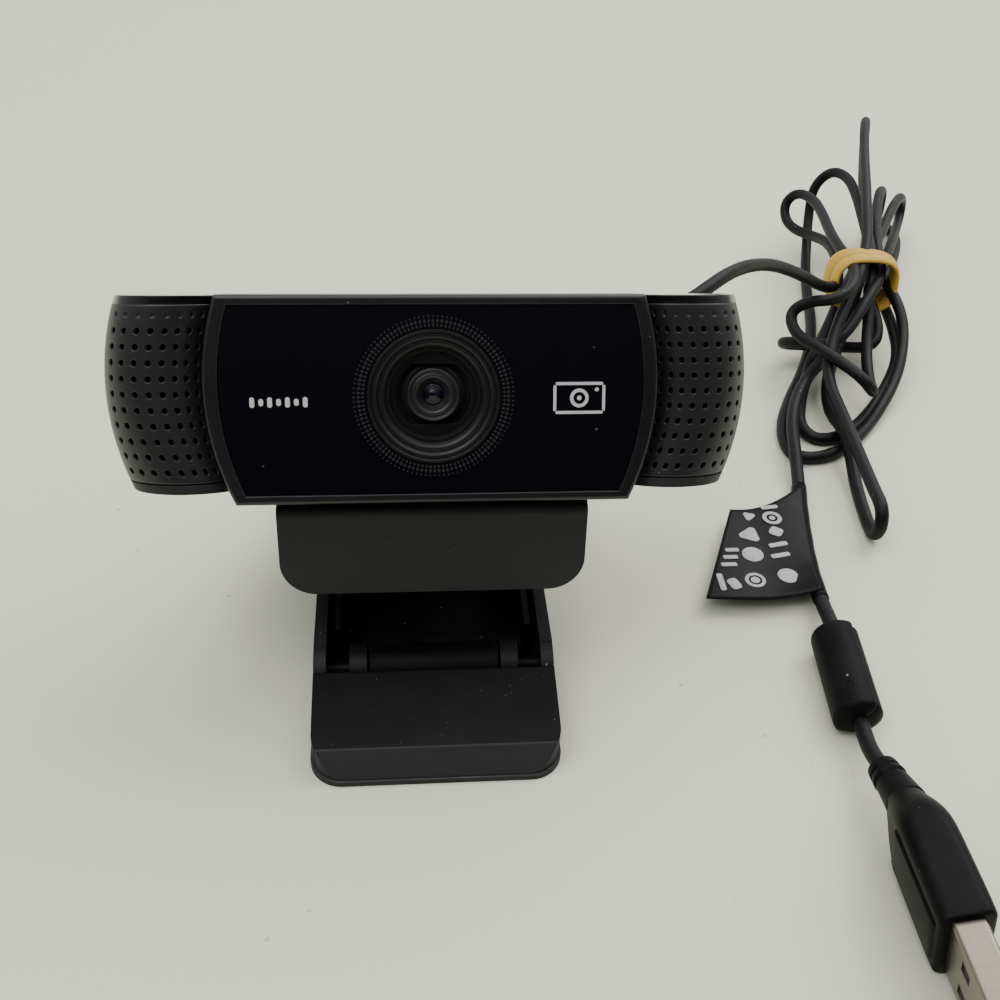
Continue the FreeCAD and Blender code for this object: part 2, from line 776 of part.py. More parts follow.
def make_ferrite_cover():
    body = Part.makeCylinder(ferrite_radius, ferrite_length, ferrite_back, ferrite_way)
    body = body.makeFillet(0.9, [e for e in body.Edges if e.Closed])
    core = Part.makeCylinder(ferrite_radius - ferrite_wall, ferrite_length - 2 * ferrite_wall,
                             ferrite_back + ferrite_way * ferrite_wall, ferrite_way)
    return body.cut(core).cut(ferrite_bore())


def ferrite_bore():
    return Part.makeCylinder(cord_radius, ferrite_length + 2, ferrite_back - ferrite_way,
                             ferrite_way)


def make_ferrite_core():
    core = Part.makeCylinder(ferrite_radius - ferrite_wall, ferrite_length - 2 * ferrite_wall,
                             ferrite_back + ferrite_way * ferrite_wall, ferrite_way)
    return core.cut(ferrite_bore())


def make_ferrite_cord():
    return Part.makeCylinder(cord_radius, ferrite_length, ferrite_back, ferrite_way)


plug_front = plug_length


def plug_block(width, height, y0, y1):
    """A block centred on the plug's axis, from y0 to y1 along it, leaning on its narrow edge."""
    return Part.makeBox(width, y1 - y0, height, Vector(-width / 2, -y1, -height / 2))


def seat_plug(shape):
    shape.rotate(Vector(0, 0, 0), Vector(0, 1, 0), plug_lean)
    shape.translate(plug_back)
    return shape


def make_plug_relief():
    reach = (plug_back - relief_tip).Length + relief_root_radius
    body = Part.makeCone(relief_tip_radius, relief_root_radius, reach, relief_tip, relief_way)
    return body.cut(make_plug_body())


def make_plug_body():
    body = plug_block(plug_width, plug_height, 0, plug_front)
    body = body.makeFillet(2.2, body.Edges)
    body = body.cut(plug_block(shell_width, shell_height, plug_front - 6, plug_front + 1))
    return seat_plug(body)


def make_plug_shell():
    y1 = plug_front + shell_length
    body = plug_block(shell_width, shell_height, plug_front - 6, y1)
    body = body.cut(plug_block(shell_width - 2 * shell_sheet, shell_height - 2 * shell_sheet,
                               plug_front - 7, y1 + 1))
    return seat_plug(body)


def make_plug_tongue():
    y1 = plug_front + shell_length - 0.6
    body = plug_block(tongue_thickness, shell_height - 2 * shell_sheet, plug_front - 6, y1)
    inner = shell_width / 2 - shell_sheet
    body.translate(Vector(tongue_thickness / 2 - inner, 0, 0))
    return seat_plug(body)


def make_plug_contacts():
    strips = []
    inner = shell_width / 2 - shell_sheet
    x0 = tongue_thickness - inner
    for z in (-3.5, -1.0, 1.0, 3.5):
        strips.append(Part.makeBox(0.2, 8.0, 1.0, Vector(x0, -plug_front - 9, z - 0.5)))
    return seat_plug(Part.makeCompound(strips))


def make_label():
    corners = [Vector(74.5, 26.5, label_height), Vector(69.0, -5.5, label_height),
               Vector(48.8, -5.5, label_height), Vector(59.0, 19.0, label_height)]
    edges = [line(corners[i], corners[(i + 1) % 4]) for i in range(4)]
    return Part.Face(Part.Wire(edges)).extrude(Vector(0, 0, label_thickness))


def main():
    os.makedirs("parts", exist_ok=True)
    save("front_frame", in_head(make_frame()))
    save("front_window", in_head(make_window()))
    save("roof_strip", in_head(make_roof_strip()))
    save("rear_housing", in_head(make_rear_housing()))
    grille = make_grille()
    save("right_grille", in_head(grille))
    save("left_grille", in_head(mirrored(grille)))
    cloth = make_cloth()
    save("right_acoustic_cloth", in_head(cloth))
    save("left_acoustic_cloth", in_head(mirrored(cloth)))

    save("lens_trim_ring", in_head(make_trim_ring()))
    save("lens_cup", in_head(make_lens_cup()))
    barrel_back = lens_barrel_front + lens_barrel_length
    save("lens_barrel", in_head(ring_y(lens_barrel_radius, lens_radius, lens_barrel_front,
                                       barrel_back)))
    save("front_lens", in_head(lens_element(lens_barrel_front + 1.2, 0.9, 0.6)))
    save("rear_lens", in_head(lens_element(lens_barrel_front + 3.6, 0.9, 0.5)))
    save("focus_coil", in_head(ring_y(lens_barrel_radius + coil_thickness, lens_barrel_radius,
                                      barrel_back - coil_length - 0.2, barrel_back - 0.2)))
    save("lens_holder", in_head(make_lens_holder()))
    save("focus_magnets", in_head(make_magnets()))
    holder_back = holder_front + holder_length
    half = sensor_chamber / 2 - 0.6
    save("infrared_filter", in_head(box(-half, half, holder_back - sensor_chamber_depth,
                                        holder_back - sensor_chamber_depth + 0.4,
                                        lens_height - half, lens_height + half)))
    save("image_sensor", in_head(box(-half, half, holder_back - 0.9, holder_back,
                                     lens_height - half, lens_height + half)))
    save("sensor_board", in_head(board(sensor_board_width, sensor_board_height, holder_back,
                                       board_thickness)))
    save("chassis", in_head(make_chassis()))
    save("chassis_screws", in_head(make_chassis_screws()))
    save("main_board", in_head(board(main_board_width, main_board_height, main_board_front,
                                     board_thickness)))
    save("processor", in_head(board(chip_size, chip_size, main_board_back, chip_height)))
    save("heat_spreader", in_head(board(spreader_width, spreader_height,
                                        main_board_back + chip_height, spreader_thickness)))
    mic_x = half_width - barrel_radius - 1
    mic_y = barrel_setback + barrel_radius
    mic_board = box(mic_x - mic_board_width / 2, mic_x + mic_board_width / 2, mic_y,
                    mic_y + board_thickness, -mic_board_height / 2, mic_board_height / 2)
    save("microphone_boards", in_head(both_sides(mic_board)))
    save("microphones", in_head(both_sides(cyl_y(mic_radius, mic_y - mic_height, mic_y, mic_x, 0))))
    save("cord_gland", in_head(make_gland()))
    save("inner_lead", in_head(make_inner_lead()))

    y, z = tilt_centre_on_plate.y, tilt_centre_on_plate.z
    save("clip_plate", on_plate(make_clip_plate()))
    save("lip_pad", on_plate(make_lip_pad()))
    save("plate_pad", on_plate(make_plate_pad()))
    save("tilt_pin", on_plate(cyl_x(tilt_pin_radius, -ear_outer, ear_outer, y, z)))
    save("tilt_washers", on_plate(washers(tilt_lug_half, tilt_lug_radius - 0.2,
                                          tilt_pin_radius + running_gap, y, z)))
    pin_half = arm_knuckle_half + washer_thickness + 2 * washer_slack + plate_knuckle_width
    save("rear_pin", on_plate(cyl_x(rear_pin_radius, -pin_half, pin_half, 0, 0)))
    save("rear_washers", on_plate(washers(arm_knuckle_half, knuckle_radius - 0.5,
                                          rear_pin_radius + running_gap, 0, 0)))

    save("arm_shell", make_arm())
    save("arm_pad", make_arm_pad())
    save("tripod_insert", make_insert())
    pin_reach = arm_width / 2 - 0.8
    save("foot_pin", cyl_x(foot_pin_radius, -pin_reach, pin_reach, pin_y, foot_pin_height))
    save("foot_shell", make_foot())
    save("foot_pad", make_foot_pad())

    save("lead_cord", cord_tube("lead_cord", lead_points, cord_radius))
    save("cord_hank", make_hank())
    save("rubber_band", make_band())
    save("tail_cord", cord_tube("tail_cord", tail_points, cord_radius))
    save("ferrite_cover", make_ferrite_cover())
    save("ferrite_core", make_ferrite_core())
    save("ferrite_cord", make_ferrite_cord())
    save("plug_cord", cord_tube("plug_cord", plug_points, cord_radius))
    save("plug_relief", make_plug_relief())
    save("plug_body", make_plug_body())
    save("plug_shell", make_plug_shell())
    save("plug_insulator", make_plug_tongue())
    save("plug_contacts", make_plug_contacts())
    save("label_flag", make_label())
    print("rest frame: tilt axis", head_frame.multVec(Vector(0, tilt_y, tilt_z)),
          "rear axis", hinge_centre, "foot axis", pin_y, foot_pin_height,
          "gland", gland_tip, gland_way)


main()
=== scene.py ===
# Desk camera on its opened monitor clip, with its lead tied in a hank. Metres, +Z up, the face looks to -Y.
import bpy, bmesh, math
from mathutils import Matrix, Vector


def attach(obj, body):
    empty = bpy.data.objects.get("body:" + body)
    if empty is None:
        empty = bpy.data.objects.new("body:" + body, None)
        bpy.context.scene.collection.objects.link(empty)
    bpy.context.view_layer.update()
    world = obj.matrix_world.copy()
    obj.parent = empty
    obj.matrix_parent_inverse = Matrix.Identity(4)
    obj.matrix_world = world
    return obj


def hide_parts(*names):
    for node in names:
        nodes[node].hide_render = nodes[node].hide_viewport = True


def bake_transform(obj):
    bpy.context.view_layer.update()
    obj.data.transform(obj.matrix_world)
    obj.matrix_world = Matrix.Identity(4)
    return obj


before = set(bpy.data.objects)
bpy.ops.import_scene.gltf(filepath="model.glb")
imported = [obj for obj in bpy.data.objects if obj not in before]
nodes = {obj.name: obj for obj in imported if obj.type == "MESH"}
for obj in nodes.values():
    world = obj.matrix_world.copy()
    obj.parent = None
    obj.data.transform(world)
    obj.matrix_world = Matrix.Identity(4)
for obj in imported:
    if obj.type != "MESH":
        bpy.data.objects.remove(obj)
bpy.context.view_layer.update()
mm = 0.001
print("frame loaded,", len(nodes), "parts")


def inMetres(rows):
    return [Vector(row) * mm for row in rows]


def tilted(place, degrees):  # a frame that leans back about X, at a place in mm
    return Matrix.Translation(Vector(place) * mm) @ Matrix.Rotation(math.radians(-degrees), 4, "X")


headFrame = tilted((0, -15.05, 52.4), 28)  # x across, y into the head from its face, z up the face


def newObject(name, data):
    piece = bpy.data.objects.new(name, data)
    bpy.context.scene.collection.objects.link(piece)
    return piece


def settled(piece, body, look=None, node=None):  # its finish, its body and the CAD part it stands for
    if look:
        piece.data.materials.clear()
        piece.data.materials.append(looks[look])
    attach(piece, body)
    if node:
        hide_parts(node)
    return piece


def meshFrom(name, points, faces, smooth=True):
    mesh = bpy.data.meshes.new(name)
    mesh.from_pydata([tuple(p) for p in points], [], faces)
    mesh.update()
    if smooth:
        mesh.shade_smooth()
    return mesh


def tidyMesh(mesh, weld=1e-7):  # doubles merged, faces turned outwards
    work = bmesh.new()
    work.from_mesh(mesh)
    bmesh.ops.remove_doubles(work, verts=work.verts, dist=weld)
    bmesh.ops.recalc_face_normals(work, faces=work.faces)
    work.to_mesh(mesh)
    work.free()
    return mesh


def evaluated(piece):
    return bpy.data.meshes.new_from_object(piece.evaluated_get(bpy.context.evaluated_depsgraph_get()))


def applied(piece):  # modifiers made real, the object left plain
    made = evaluated(piece)
    old = piece.data
    piece.modifiers.clear()
    piece.data = made
    bpy.data.meshes.remove(old)
    return piece


def bandFaces(rows, count):  # quads between closed rings of points
    return [(r * count + i, r * count + (i + 1) % count, (r + 1) * count + (i + 1) % count, (r + 1) * count + i)
            for r in range(rows - 1) for i in range(count)]


def ringLoft(name, rings, closeEnds=True, smooth=True):  # rings of equal count, joined in order
    points = [p for ring in rings for p in ring]
    count = len(rings[0])
    faces = bandFaces(len(rings), count)
    if closeEnds:
        for r in (0, len(rings) - 1):
            middle = sum(rings[r], Vector()) / count
            points.append(middle)
            for i in range(count):
                faces.append((r * count + i, r * count + (i + 1) % count, len(points) - 1))
    return tidyMesh(meshFrom(name, points, faces, smooth))


def roundedRect(halfX, halfZ, radius, perCorner=5):  # corner points of a rounded rectangle, in x and z
    spots = []
    for cx, cz, start in ((1, 1, 0), (-1, 1, 90), (-1, -1, 180), (1, -1, 270)):
        for i in range(perCorner + 1):
            a = math.radians(start + 90 * i / perCorner)
            spots.append((cx * (halfX - radius) + radius * math.cos(a),
                          cz * (halfZ - radius) + radius * math.sin(a)))
    return spots


def turned(name, profile, steps=96, place=(0, 0.5)):  # (radius, depth) pairs spun about an axis of the head
    angles = [2 * math.pi * i / steps for i in range(steps)]
    rings = [[Vector((place[0] + r * math.cos(a), y, place[1] + r * math.sin(a))) * mm for r, y in profile]
             for a in angles]
    return ringLoft(name, rings + [rings[0]], closeEnds=False)


def joinMeshes(name, meshes):
    work = bmesh.new()
    for mesh in meshes:
        work.from_mesh(mesh)
    joined = bpy.data.meshes.new(name)
    work.to_mesh(joined)
    work.free()
    for mesh in meshes:
        if mesh.users == 0:
            bpy.data.meshes.remove(mesh)
    return joined


# the view, the light and the table
viewing = {"place": (-5.04, -148.27, 142.61), "down": 38.95, "turn": 6.46, "roll": 3.10, "lens": 41.13, "sensor": 36}


def makeCamera(v):
    down, turn, roll = (math.radians(v[k]) for k in ("down", "turn", "roll"))
    look = Vector((math.sin(turn) * math.cos(down), math.cos(turn) * math.cos(down), -math.sin(down)))
    side = Vector((math.cos(turn), -math.sin(turn), 0))
    above = side.cross(look)
    right = side * math.cos(roll) + above * math.sin(roll)
    up = above * math.cos(roll) - side * math.sin(roll)
    data = bpy.data.cameras.new("view")
    data.lens = v["lens"]
    data.sensor_width = v["sensor"]
    data.clip_start = 0.005
    camera = newObject("view", data)
    turnMatrix = Matrix((right, up, -look)).transposed().to_4x4()
    camera.matrix_world = Matrix.Translation(Vector(v["place"]) * mm) @ turnMatrix
    bpy.context.scene.camera = camera


makeCamera(viewing)

# shared effects, as node groups


def addNode(tree, kind, feeds=None, **settings):
    made = tree.nodes.new(kind)
    for key, value in settings.items():
        setattr(made, key, value)
    for key, value in (feeds or {}).items():
        if isinstance(value, bpy.types.NodeSocket):
            tree.links.new(value, made.inputs[key])
        else:
            made.inputs[key].default_value = value
    return made


def math2(tree, operation, a, b=0.0, clamp=False):
    return addNode(tree, "ShaderNodeMath", {0: a, 1: b}, operation=operation, use_clamp=clamp).outputs[0]


def times(tree, a, b, clamp=False):
    return math2(tree, "MULTIPLY", a, b, clamp)


def plus(tree, a, b, clamp=False):
    return math2(tree, "ADD", a, b, clamp)


def minus(tree, a, b, clamp=False):
    return math2(tree, "SUBTRACT", a, b, clamp)


def objectSpot(tree):
    return addNode(tree, "ShaderNodeTexCoord").outputs["Object"]


def noise(tree, spot, scale, detail, **more):
    return addNode(tree, "ShaderNodeTexNoise", {"Vector": spot, "Scale": scale, "Detail": detail} | more).outputs["Fac"]


def shades(tree, fac, *stops):  # a colour ramp, stops of (place, grey or colour)
    ramp = addNode(tree, "ShaderNodeValToRGB", {"Fac": fac})
    marks = ramp.color_ramp.elements
    while len(marks) < len(stops):
        marks.new(0.5)
    for mark, (place, tone) in zip(marks, stops):
        mark.position = place
        mark.color = (tone, tone, tone, 1) if isinstance(tone, (int, float)) else (*tone, 1)
    return ramp.outputs["Color"]


def blendTone(tree, fac, a, b):
    mix = addNode(tree, "ShaderNodeMix", data_type="RGBA")
    for index, value in ((0, fac), (6, a), (7, b)):
        if isinstance(value, bpy.types.NodeSocket):
            tree.links.new(value, mix.inputs[index])
        else:
            mix.inputs[index].default_value = value if index == 0 else (*value[:3], 1)
    return mix.outputs[2]


def newGroup(name, inputs, outputs):
    group = bpy.data.node_groups.new(name, "ShaderNodeTree")
    for label, value in inputs:
        socket = group.interface.new_socket(label, in_out="INPUT", socket_type="NodeSocketFloat")
        socket.default_value = value
    for label in outputs:
        group.interface.new_socket(label, in_out="OUTPUT", socket_type="NodeSocketFloat")
    return group, group.nodes.new("NodeGroupInput").outputs, group.nodes.new("NodeGroupOutput").inputs


def mouldGrain():  # fine spark texture of moulded plastic, with slow flow marks
    g, into, out = newGroup("mouldGrain", [("Grain per mm", 6.0), ("Flow per mm", 0.06)],
                            ["Height", "Flow", "Speckle"])
    spot = objectSpot(g)
    fine = times(g, into[0], 1000.0)
    grain = noise(g, spot, fine, 3.0, Roughness=0.6)
    cells = addNode(g, "ShaderNodeTexVoronoi", {"Vector": spot, "Scale": fine}).outputs["Distance"]
    flow = noise(g, spot, times(g, into[1], 1000.0), 4.0, Roughness=0.55, Distortion=0.6)
    g.links.new(plus(g, times(g, grain, 0.6), times(g, cells, 0.5)), out["Height"])
    g.links.new(flow, out["Flow"])
    g.links.new(times(g, cells, 1.4, True), out["Speckle"])
    return g


def edgeWearAndHighlight():  # bright along edges, broken up by noise: partly rubbed edges, partly a painted highlight where edges catch the light
    g, into, out = newGroup("edgeWearAndHighlight", [("Reach mm", 0.3), ("Break-up per mm", 0.9)], ["Edge"])
    soft = addNode(g, "ShaderNodeBevel", {"Radius": times(g, into[0], 0.001)}, samples=4)
    plain = addNode(g, "ShaderNodeNewGeometry")
    same = addNode(g, "ShaderNodeVectorMath", {0: soft.outputs[0], 1: plain.outputs["Normal"]},
                   operation="DOT_PRODUCT")
    rough = noise(g, objectSpot(g), times(g, into[1], 1000.0), 3.0)
    bent = times(g, minus(g, 1.0, same.outputs["Value"]), 9.0, True)
    g.links.new(times(g, bent, plus(g, 0.35, rough), True), out["Edge"])
    return g


def settledDust():  # specks and a thin veil on what faces up
    g, into, out = newGroup("settledDust", [("Specks per mm", 0.5), ("Speck size", 0.12), ("Veil", 0.15)],
                            ["Dust", "Speck"])
    spot = objectSpot(g)
    plain = addNode(g, "ShaderNodeNewGeometry")
    facing = addNode(g, "ShaderNodeSeparateXYZ", {0: plain.outputs["Normal"]}).outputs["Z"]
    upward = times(g, plus(g, facing, 0.15), 1.1, True)
    spots = addNode(g, "ShaderNodeTexVoronoi", {"Vector": spot, "Randomness": 1.0, "Scale": times(g, into[0], 1000.0)})
    chance = addNode(g, "ShaderNodeSeparateColor", {0: spots.outputs["Color"]}).outputs[0]
    speck = math2(g, "LESS_THAN", spots.outputs["Distance"], times(g, into[1], times(g, chance, chance)))
    veil = noise(g, spot, 90.0, 5.0, Roughness=0.7)
    thin = times(g, math2(g, "POWER", veil, 2.0), into[2])
    both = math2(g, "MAXIMUM", times(g, speck, 0.8), thin)
    g.links.new(times(g, both, upward, True), out["Dust"])
    g.links.new(times(g, speck, upward, True), out["Speck"])
    return g


def wipeMarks():  # hairline scratches and wiping on gloss
    g, into, out = newGroup("wipeMarks", [("Lines per mm", 0.35), ("Smear per mm", 0.07)], ["Lines", "Smear"])
    spot = objectSpot(g)
    total = None
    for turn, stretch in ((0.4, 22.0), (-0.9, 30.0), (1.3, 26.0)):
        laid = addNode(g, "ShaderNodeMapping", {"Vector": spot, "Rotation": (turn, turn * 0.7, turn),
                                                "Scale": (1.0, stretch, 1.0)})
        lines = noise(g, laid.outputs[0], times(g, into[0], 1000.0), 2.0)
        sharp = math2(g, "GREATER_THAN", lines, 0.69)
        total = math2(g, "MAXIMUM", total, sharp) if total else sharp
    g.links.new(total, out["Lines"])
    g.links.new(noise(g, spot, times(g, into[1], 1000.0), 4.0, Distortion=1.2), out["Smear"])
    return g


groups = {"grain": mouldGrain(), "wearAndHighlight": edgeWearAndHighlight(), "dust": settledDust(), "wipe": wipeMarks()}
looks = {}


def startMaterial(name, **constants):
    looks[name] = made = bpy.data.materials.new(name)
    made.use_nodes = True
    for key, value in constants.items():
        made.node_tree.nodes["Principled BSDF"].inputs[key.replace("_", " ")].default_value = value
    return made.node_tree


def effect(tree, group, *values):  # a shared effect with this material's own values
    made = addNode(tree, "ShaderNodeGroup", node_tree=groups[group])
    for socket, value in zip(made.inputs, values):
        socket.default_value = value
    return made.outputs


def finish(tree, tone, rough, height=None, strength=0.0, depth=0.0, soften=0.0, metal=None):  # depth, soften in mm
    feeds = {"Base Color": tone, "Roughness": rough}
    if metal:
        feeds["Metallic"] = metal
    if height:
        bump = {"Strength": strength, "Distance": depth * mm, "Height": height}
        if soften:
            bump["Normal"] = addNode(tree, "ShaderNodeBevel", {"Radius": soften * mm}, samples=4).outputs[0]
        feeds["Normal"] = addNode(tree, "ShaderNodeBump", bump).outputs[0]
    for key, socket in feeds.items():
        tree.links.new(socket, tree.nodes["Principled BSDF"].inputs[key])


def insideBox(tree, low, high):  # 1 within a box given in mm, for painted shade and painted highlight laid over the tone
    along = addNode(tree, "ShaderNodeSeparateXYZ", {0: objectSpot(tree)}).outputs
    mask = None
    for axis in range(3):
        over = math2(tree, "GREATER_THAN", along[axis], low[axis] * mm)
        under = math2(tree, "LESS_THAN", along[axis], high[axis] * mm)
        here = times(tree, over, under)
        mask = times(tree, mask, here) if mask else here
    return mask


def mouldedPlastic(name, p):  # p holds what makes this plastic differ from the next
    tree = startMaterial(name, IOR=1.5, Specular_IOR_Level=p.get("shine", 0.28), Coat_Roughness=0.08,
                         Coat_Weight=p.get("coat", 0.0))
    grain = effect(tree, "grain", p["grain"], 0.06)
    edge = effect(tree, "wearAndHighlight", p.get("edgeReach", 0.25), 0.9)["Edge"]
    dust = effect(tree, "dust", p.get("specks", 0.45), p.get("speckSize", 0.1), p.get("veil", 0.04))["Dust"]
    base = p["colour"]
    tone = blendTone(tree, grain["Flow"], [c * p.get("deep", 0.8) for c in base], [c * 1.18 for c in base])
    tone = blendTone(tree, times(tree, grain["Speckle"], p.get("speckle", 0.15)), tone, [c * 1.9 + 0.004 for c in base])
    # edges lightened: partly rubbed edges, partly a painted highlight
    tone = blendTone(tree, times(tree, edge, p.get("wearAndHighlight", 0.35)), tone, p.get("wornAndHighlit", [c * 2.6 + 0.012 for c in base]))
    tone = blendTone(tree, dust, tone, (0.30, 0.29, 0.27))
    # boxes of painted shade and painted highlight laid over the plastic's tone
    for low, high, other in p.get("paintedLightPatches", ()):
        tone = blendTone(tree, insideBox(tree, low, high), tone, other)
    rough = plus(tree, p["rough"] - 0.06, times(tree, grain["Flow"], 0.12))
    rough = plus(tree, rough, times(tree, dust, 0.4), True)
    rough = minus(tree, rough, times(tree, edge, 0.1), True)
    finish(tree, tone, rough, grain["Height"], p.get("bump", 0.25), 0.03, p.get("soften", 0.15))


plastics = {
    "wingShell": {"colour": (0.0070, 0.0069, 0.0080), "rough": 0.40, "grain": 5.0, "bump": 0.3, "wearAndHighlight": 0.55,
                  "shine": 0.5, "edgeReach": 0.18},
    "rearShell": {"colour": (0.0120, 0.0120, 0.0128), "rough": 0.52, "grain": 5.0, "bump": 0.4, "wearAndHighlight": 0.3},
    # the frame's strong, narrow edge lightening is a painted highlight along its edges
    "frameTrim": {"colour": (0.0045, 0.0044, 0.0056), "shine": 0.5, "rough": 0.30, "grain": 8.0, "bump": 0.12,
                  "wearAndHighlight": 0.85, "edgeReach": 0.35, "veil": 0.06, "soften": 0.3},
    # near-black painted shade for the walls and floors of the grille holes
    "holePaintedShade": {"colour": (0.0012, 0.0012, 0.0013), "rough": 0.8, "grain": 6.0, "veil": 0.0, "specks": 0.2},
    "roofGloss": {"colour": (0.0030, 0.0030, 0.0032), "rough": 0.16, "grain": 3.0, "bump": 0.04, "wearAndHighlight": 0.3,
                  "veil": 0.05, "coat": 0.6, "soften": 0.35, "speckle": 0.0},
    "cupDark": {"colour": (0.0022, 0.0022, 0.0026), "rough": 0.45, "grain": 7.0, "bump": 0.15},
    "barrelDark": {"colour": (0.0140, 0.0140, 0.0150), "shine": 0.5, "rough": 0.32, "grain": 9.0, "bump": 0.1,
                   "wearAndHighlight": 0.5},
    "clipMatte": {"colour": (0.0160, 0.0157, 0.0178), "rough": 0.58, "grain": 5.5, "bump": 0.35, "wearAndHighlight": 0.3,
                  "specks": 1.3, "speckSize": 0.10, "veil": 0.05, "soften": 0.3},
    # the recess in the arm is darkened to near black: a painted shade
    "armMatte": {"colour": (0.0060, 0.0060, 0.0068), "rough": 0.55, "grain": 5.5, "bump": 0.35, "wearAndHighlight": 0.4,
                 "specks": 0.5, "soften": 0.2, "paintedLightPatches": [((-16.7, -25.6, 1.2), (16.7, 24.0, 9.7),
                                                            (0.0011, 0.0011, 0.0014))]},
    # on the foot, the tongue behind the top rear edge is darkened to near black as a painted shade, and the front band
    # is lightened as a painted highlight
    "footMatte": {"colour": (0.0016, 0.0015, 0.0020), "shine": 0.12, "rough": 0.54, "grain": 6.0, "bump": 0.3,
                  "wearAndHighlight": 0.4, "specks": 1.1, "speckSize": 0.08, "veil": 0.04, "soften": 0.3,
                  "paintedLightPatches": [((-20, -25.1, -1), (20, -10, 12), (0.0008, 0.0008, 0.0010)),
                              ((-20, -42, -1), (20, -38.0, 6.2), (0.0300, 0.0298, 0.0320))]},
    "padRubber": {"colour": (0.0012, 0.0012, 0.0014), "rough": 0.78, "grain": 3.5, "bump": 0.5, "wearAndHighlight": 0.1,
                  "shine": 0.1, "veil": 0.1},
    "soleRubber": {"colour": (0.0130, 0.0130, 0.0135), "rough": 0.7, "grain": 3.0, "bump": 0.5, "wearAndHighlight": 0.2,
                   "shine": 0.35, "veil": 0.3},
    "chokeShell": {"colour": (0.0016, 0.0016, 0.0021), "shine": 0.08, "rough": 0.5, "grain": 4.5, "bump": 0.45,
                   "specks": 0.5},
    "plugShell": {"colour": (0.0012, 0.0012, 0.0015), "shine": 0.08, "rough": 0.44, "grain": 4.0, "bump": 0.3,
                  "specks": 0.5, "soften": 0.25},
    "holderDark": {"colour": (0.0040, 0.0040, 0.0042), "rough": 0.5, "grain": 6.0},
    "chipEpoxy": {"colour": (0.0180, 0.0180, 0.0190), "rough": 0.42, "grain": 7.0, "bump": 0.2, "veil": 0.0},
    "insulatorDark": {"colour": (0.010, 0.010, 0.010), "rough": 0.4, "grain": 6.0, "bump": 0.1, "deep": 0.95,
                      "speckle": 0.02},
    "ferriteCeramic": {"colour": (0.0500, 0.0480, 0.0460), "rough": 0.5, "grain": 4.0, "bump": 0.3},
    "printGrey": {"colour": (0.55, 0.55, 0.55), "rough": 0.5, "grain": 8.0, "bump": 0.1,
                  "wornAndHighlit": (0.6, 0.6, 0.6), "speckle": 0.1},
    "tickInk": {"colour": (0.0110, 0.0110, 0.0125), "rough": 0.5, "grain": 8.0, "bump": 0.1, "specks": 0.0},
    "darkSteel": {"colour": (0.0030, 0.0030, 0.0032), "shine": 0.15, "rough": 0.5, "grain": 6.0, "bump": 0.1},
}
for name, p in plastics.items():
    mouldedPlastic(name, p)


def brushedMetal(name, colour, level, streaks, dirt):
    tree = startMaterial(name, Metallic=1.0)
    wipe = effect(tree, "wipe", streaks, 0.2)
    dust = effect(tree, "dust", 0.6, 0.1, 0.08)["Dust"]
    tone = blendTone(tree, wipe["Smear"], [c * 0.82 for c in colour], colour)
    tone = blendTone(tree, times(tree, wipe["Lines"], 0.35), tone, [c * 0.5 for c in colour])
    tone = blendTone(tree, times(tree, dust, dirt), tone, (0.12, 0.10, 0.08))
    rough = plus(tree, plus(tree, level, times(tree, wipe["Smear"], 0.12)), times(tree, wipe["Lines"], 0.15), True)
    finish(tree, tone, rough, wipe["Lines"], 0.15, 0.01, 0.1)


metals = {  # colour, roughness, scratches per mm, dirt
    "pinSteel": ((0.52, 0.52, 0.53), 0.28, 0.5, 0.4),
    "insertBrass": ((0.70, 0.50, 0.24), 0.26, 0.4, 0.6),
    "plugNickel": ((0.25, 0.22, 0.175), 0.24, 0.3, 0.5),
    "contactGold": ((0.83, 0.62, 0.26), 0.22, 0.5, 0.2),
    "coilCopper": ((0.36, 0.17, 0.10), 0.35, 2.5, 0.2),
    "spreaderAluminium": ((0.70, 0.71, 0.72), 0.34, 0.6, 0.3),
    "magnetNickel": ((0.60, 0.60, 0.62), 0.2, 0.3, 0.2),
}
for name, values in metals.items():
    brushedMetal(name, *values)


def windowGloss():  # smoked gloss panel with wiping marks and a few specks
    tree = startMaterial("windowGloss", IOR=1.5, Specular_IOR_Level=0.35, Coat_Weight=0.1, Coat_Roughness=0.03)
    wipe = effect(tree, "wipe", 0.3, 0.06)
    speck = effect(tree, "dust", 0.3, 0.07, 0.02)["Speck"]
    tone = blendTone(tree, wipe["Smear"], (0.0026, 0.0026, 0.0046), (0.0034, 0.0034, 0.0058))
    tone = blendTone(tree, times(tree, speck, 0.5), tone, (0.16, 0.16, 0.17))
    rough = plus(tree, plus(tree, 0.09, times(tree, wipe["Smear"], 0.07)), times(tree, wipe["Lines"], 0.05), True)
    finish(tree, tone, rough, wipe["Lines"], 0.05, 0.01)


def coatedLens():  # dark domed glass with a blue and violet coating
    tree = startMaterial("coatedLens", IOR=1.7, Specular_IOR_Level=0.22, Coat_Weight=0.12, Coat_Roughness=0.01,
                         Coat_IOR=1.6)
    facing = addNode(tree, "ShaderNodeLayerWeight", {"Blend": 0.35})
    tint = shades(tree, facing.outputs["Facing"], (0.0, (0.004, 0.004, 0.010)), (0.45, (0.012, 0.010, 0.040)),
                  (0.8, (0.040, 0.012, 0.050)))
    flow = effect(tree, "grain", 1.0, 0.3)["Flow"]
    finish(tree, blendTone(tree, times(tree, flow, 0.3), tint, (0.0, 0.0, 0.0)),
           plus(tree, 0.02, times(tree, flow, 0.05)))


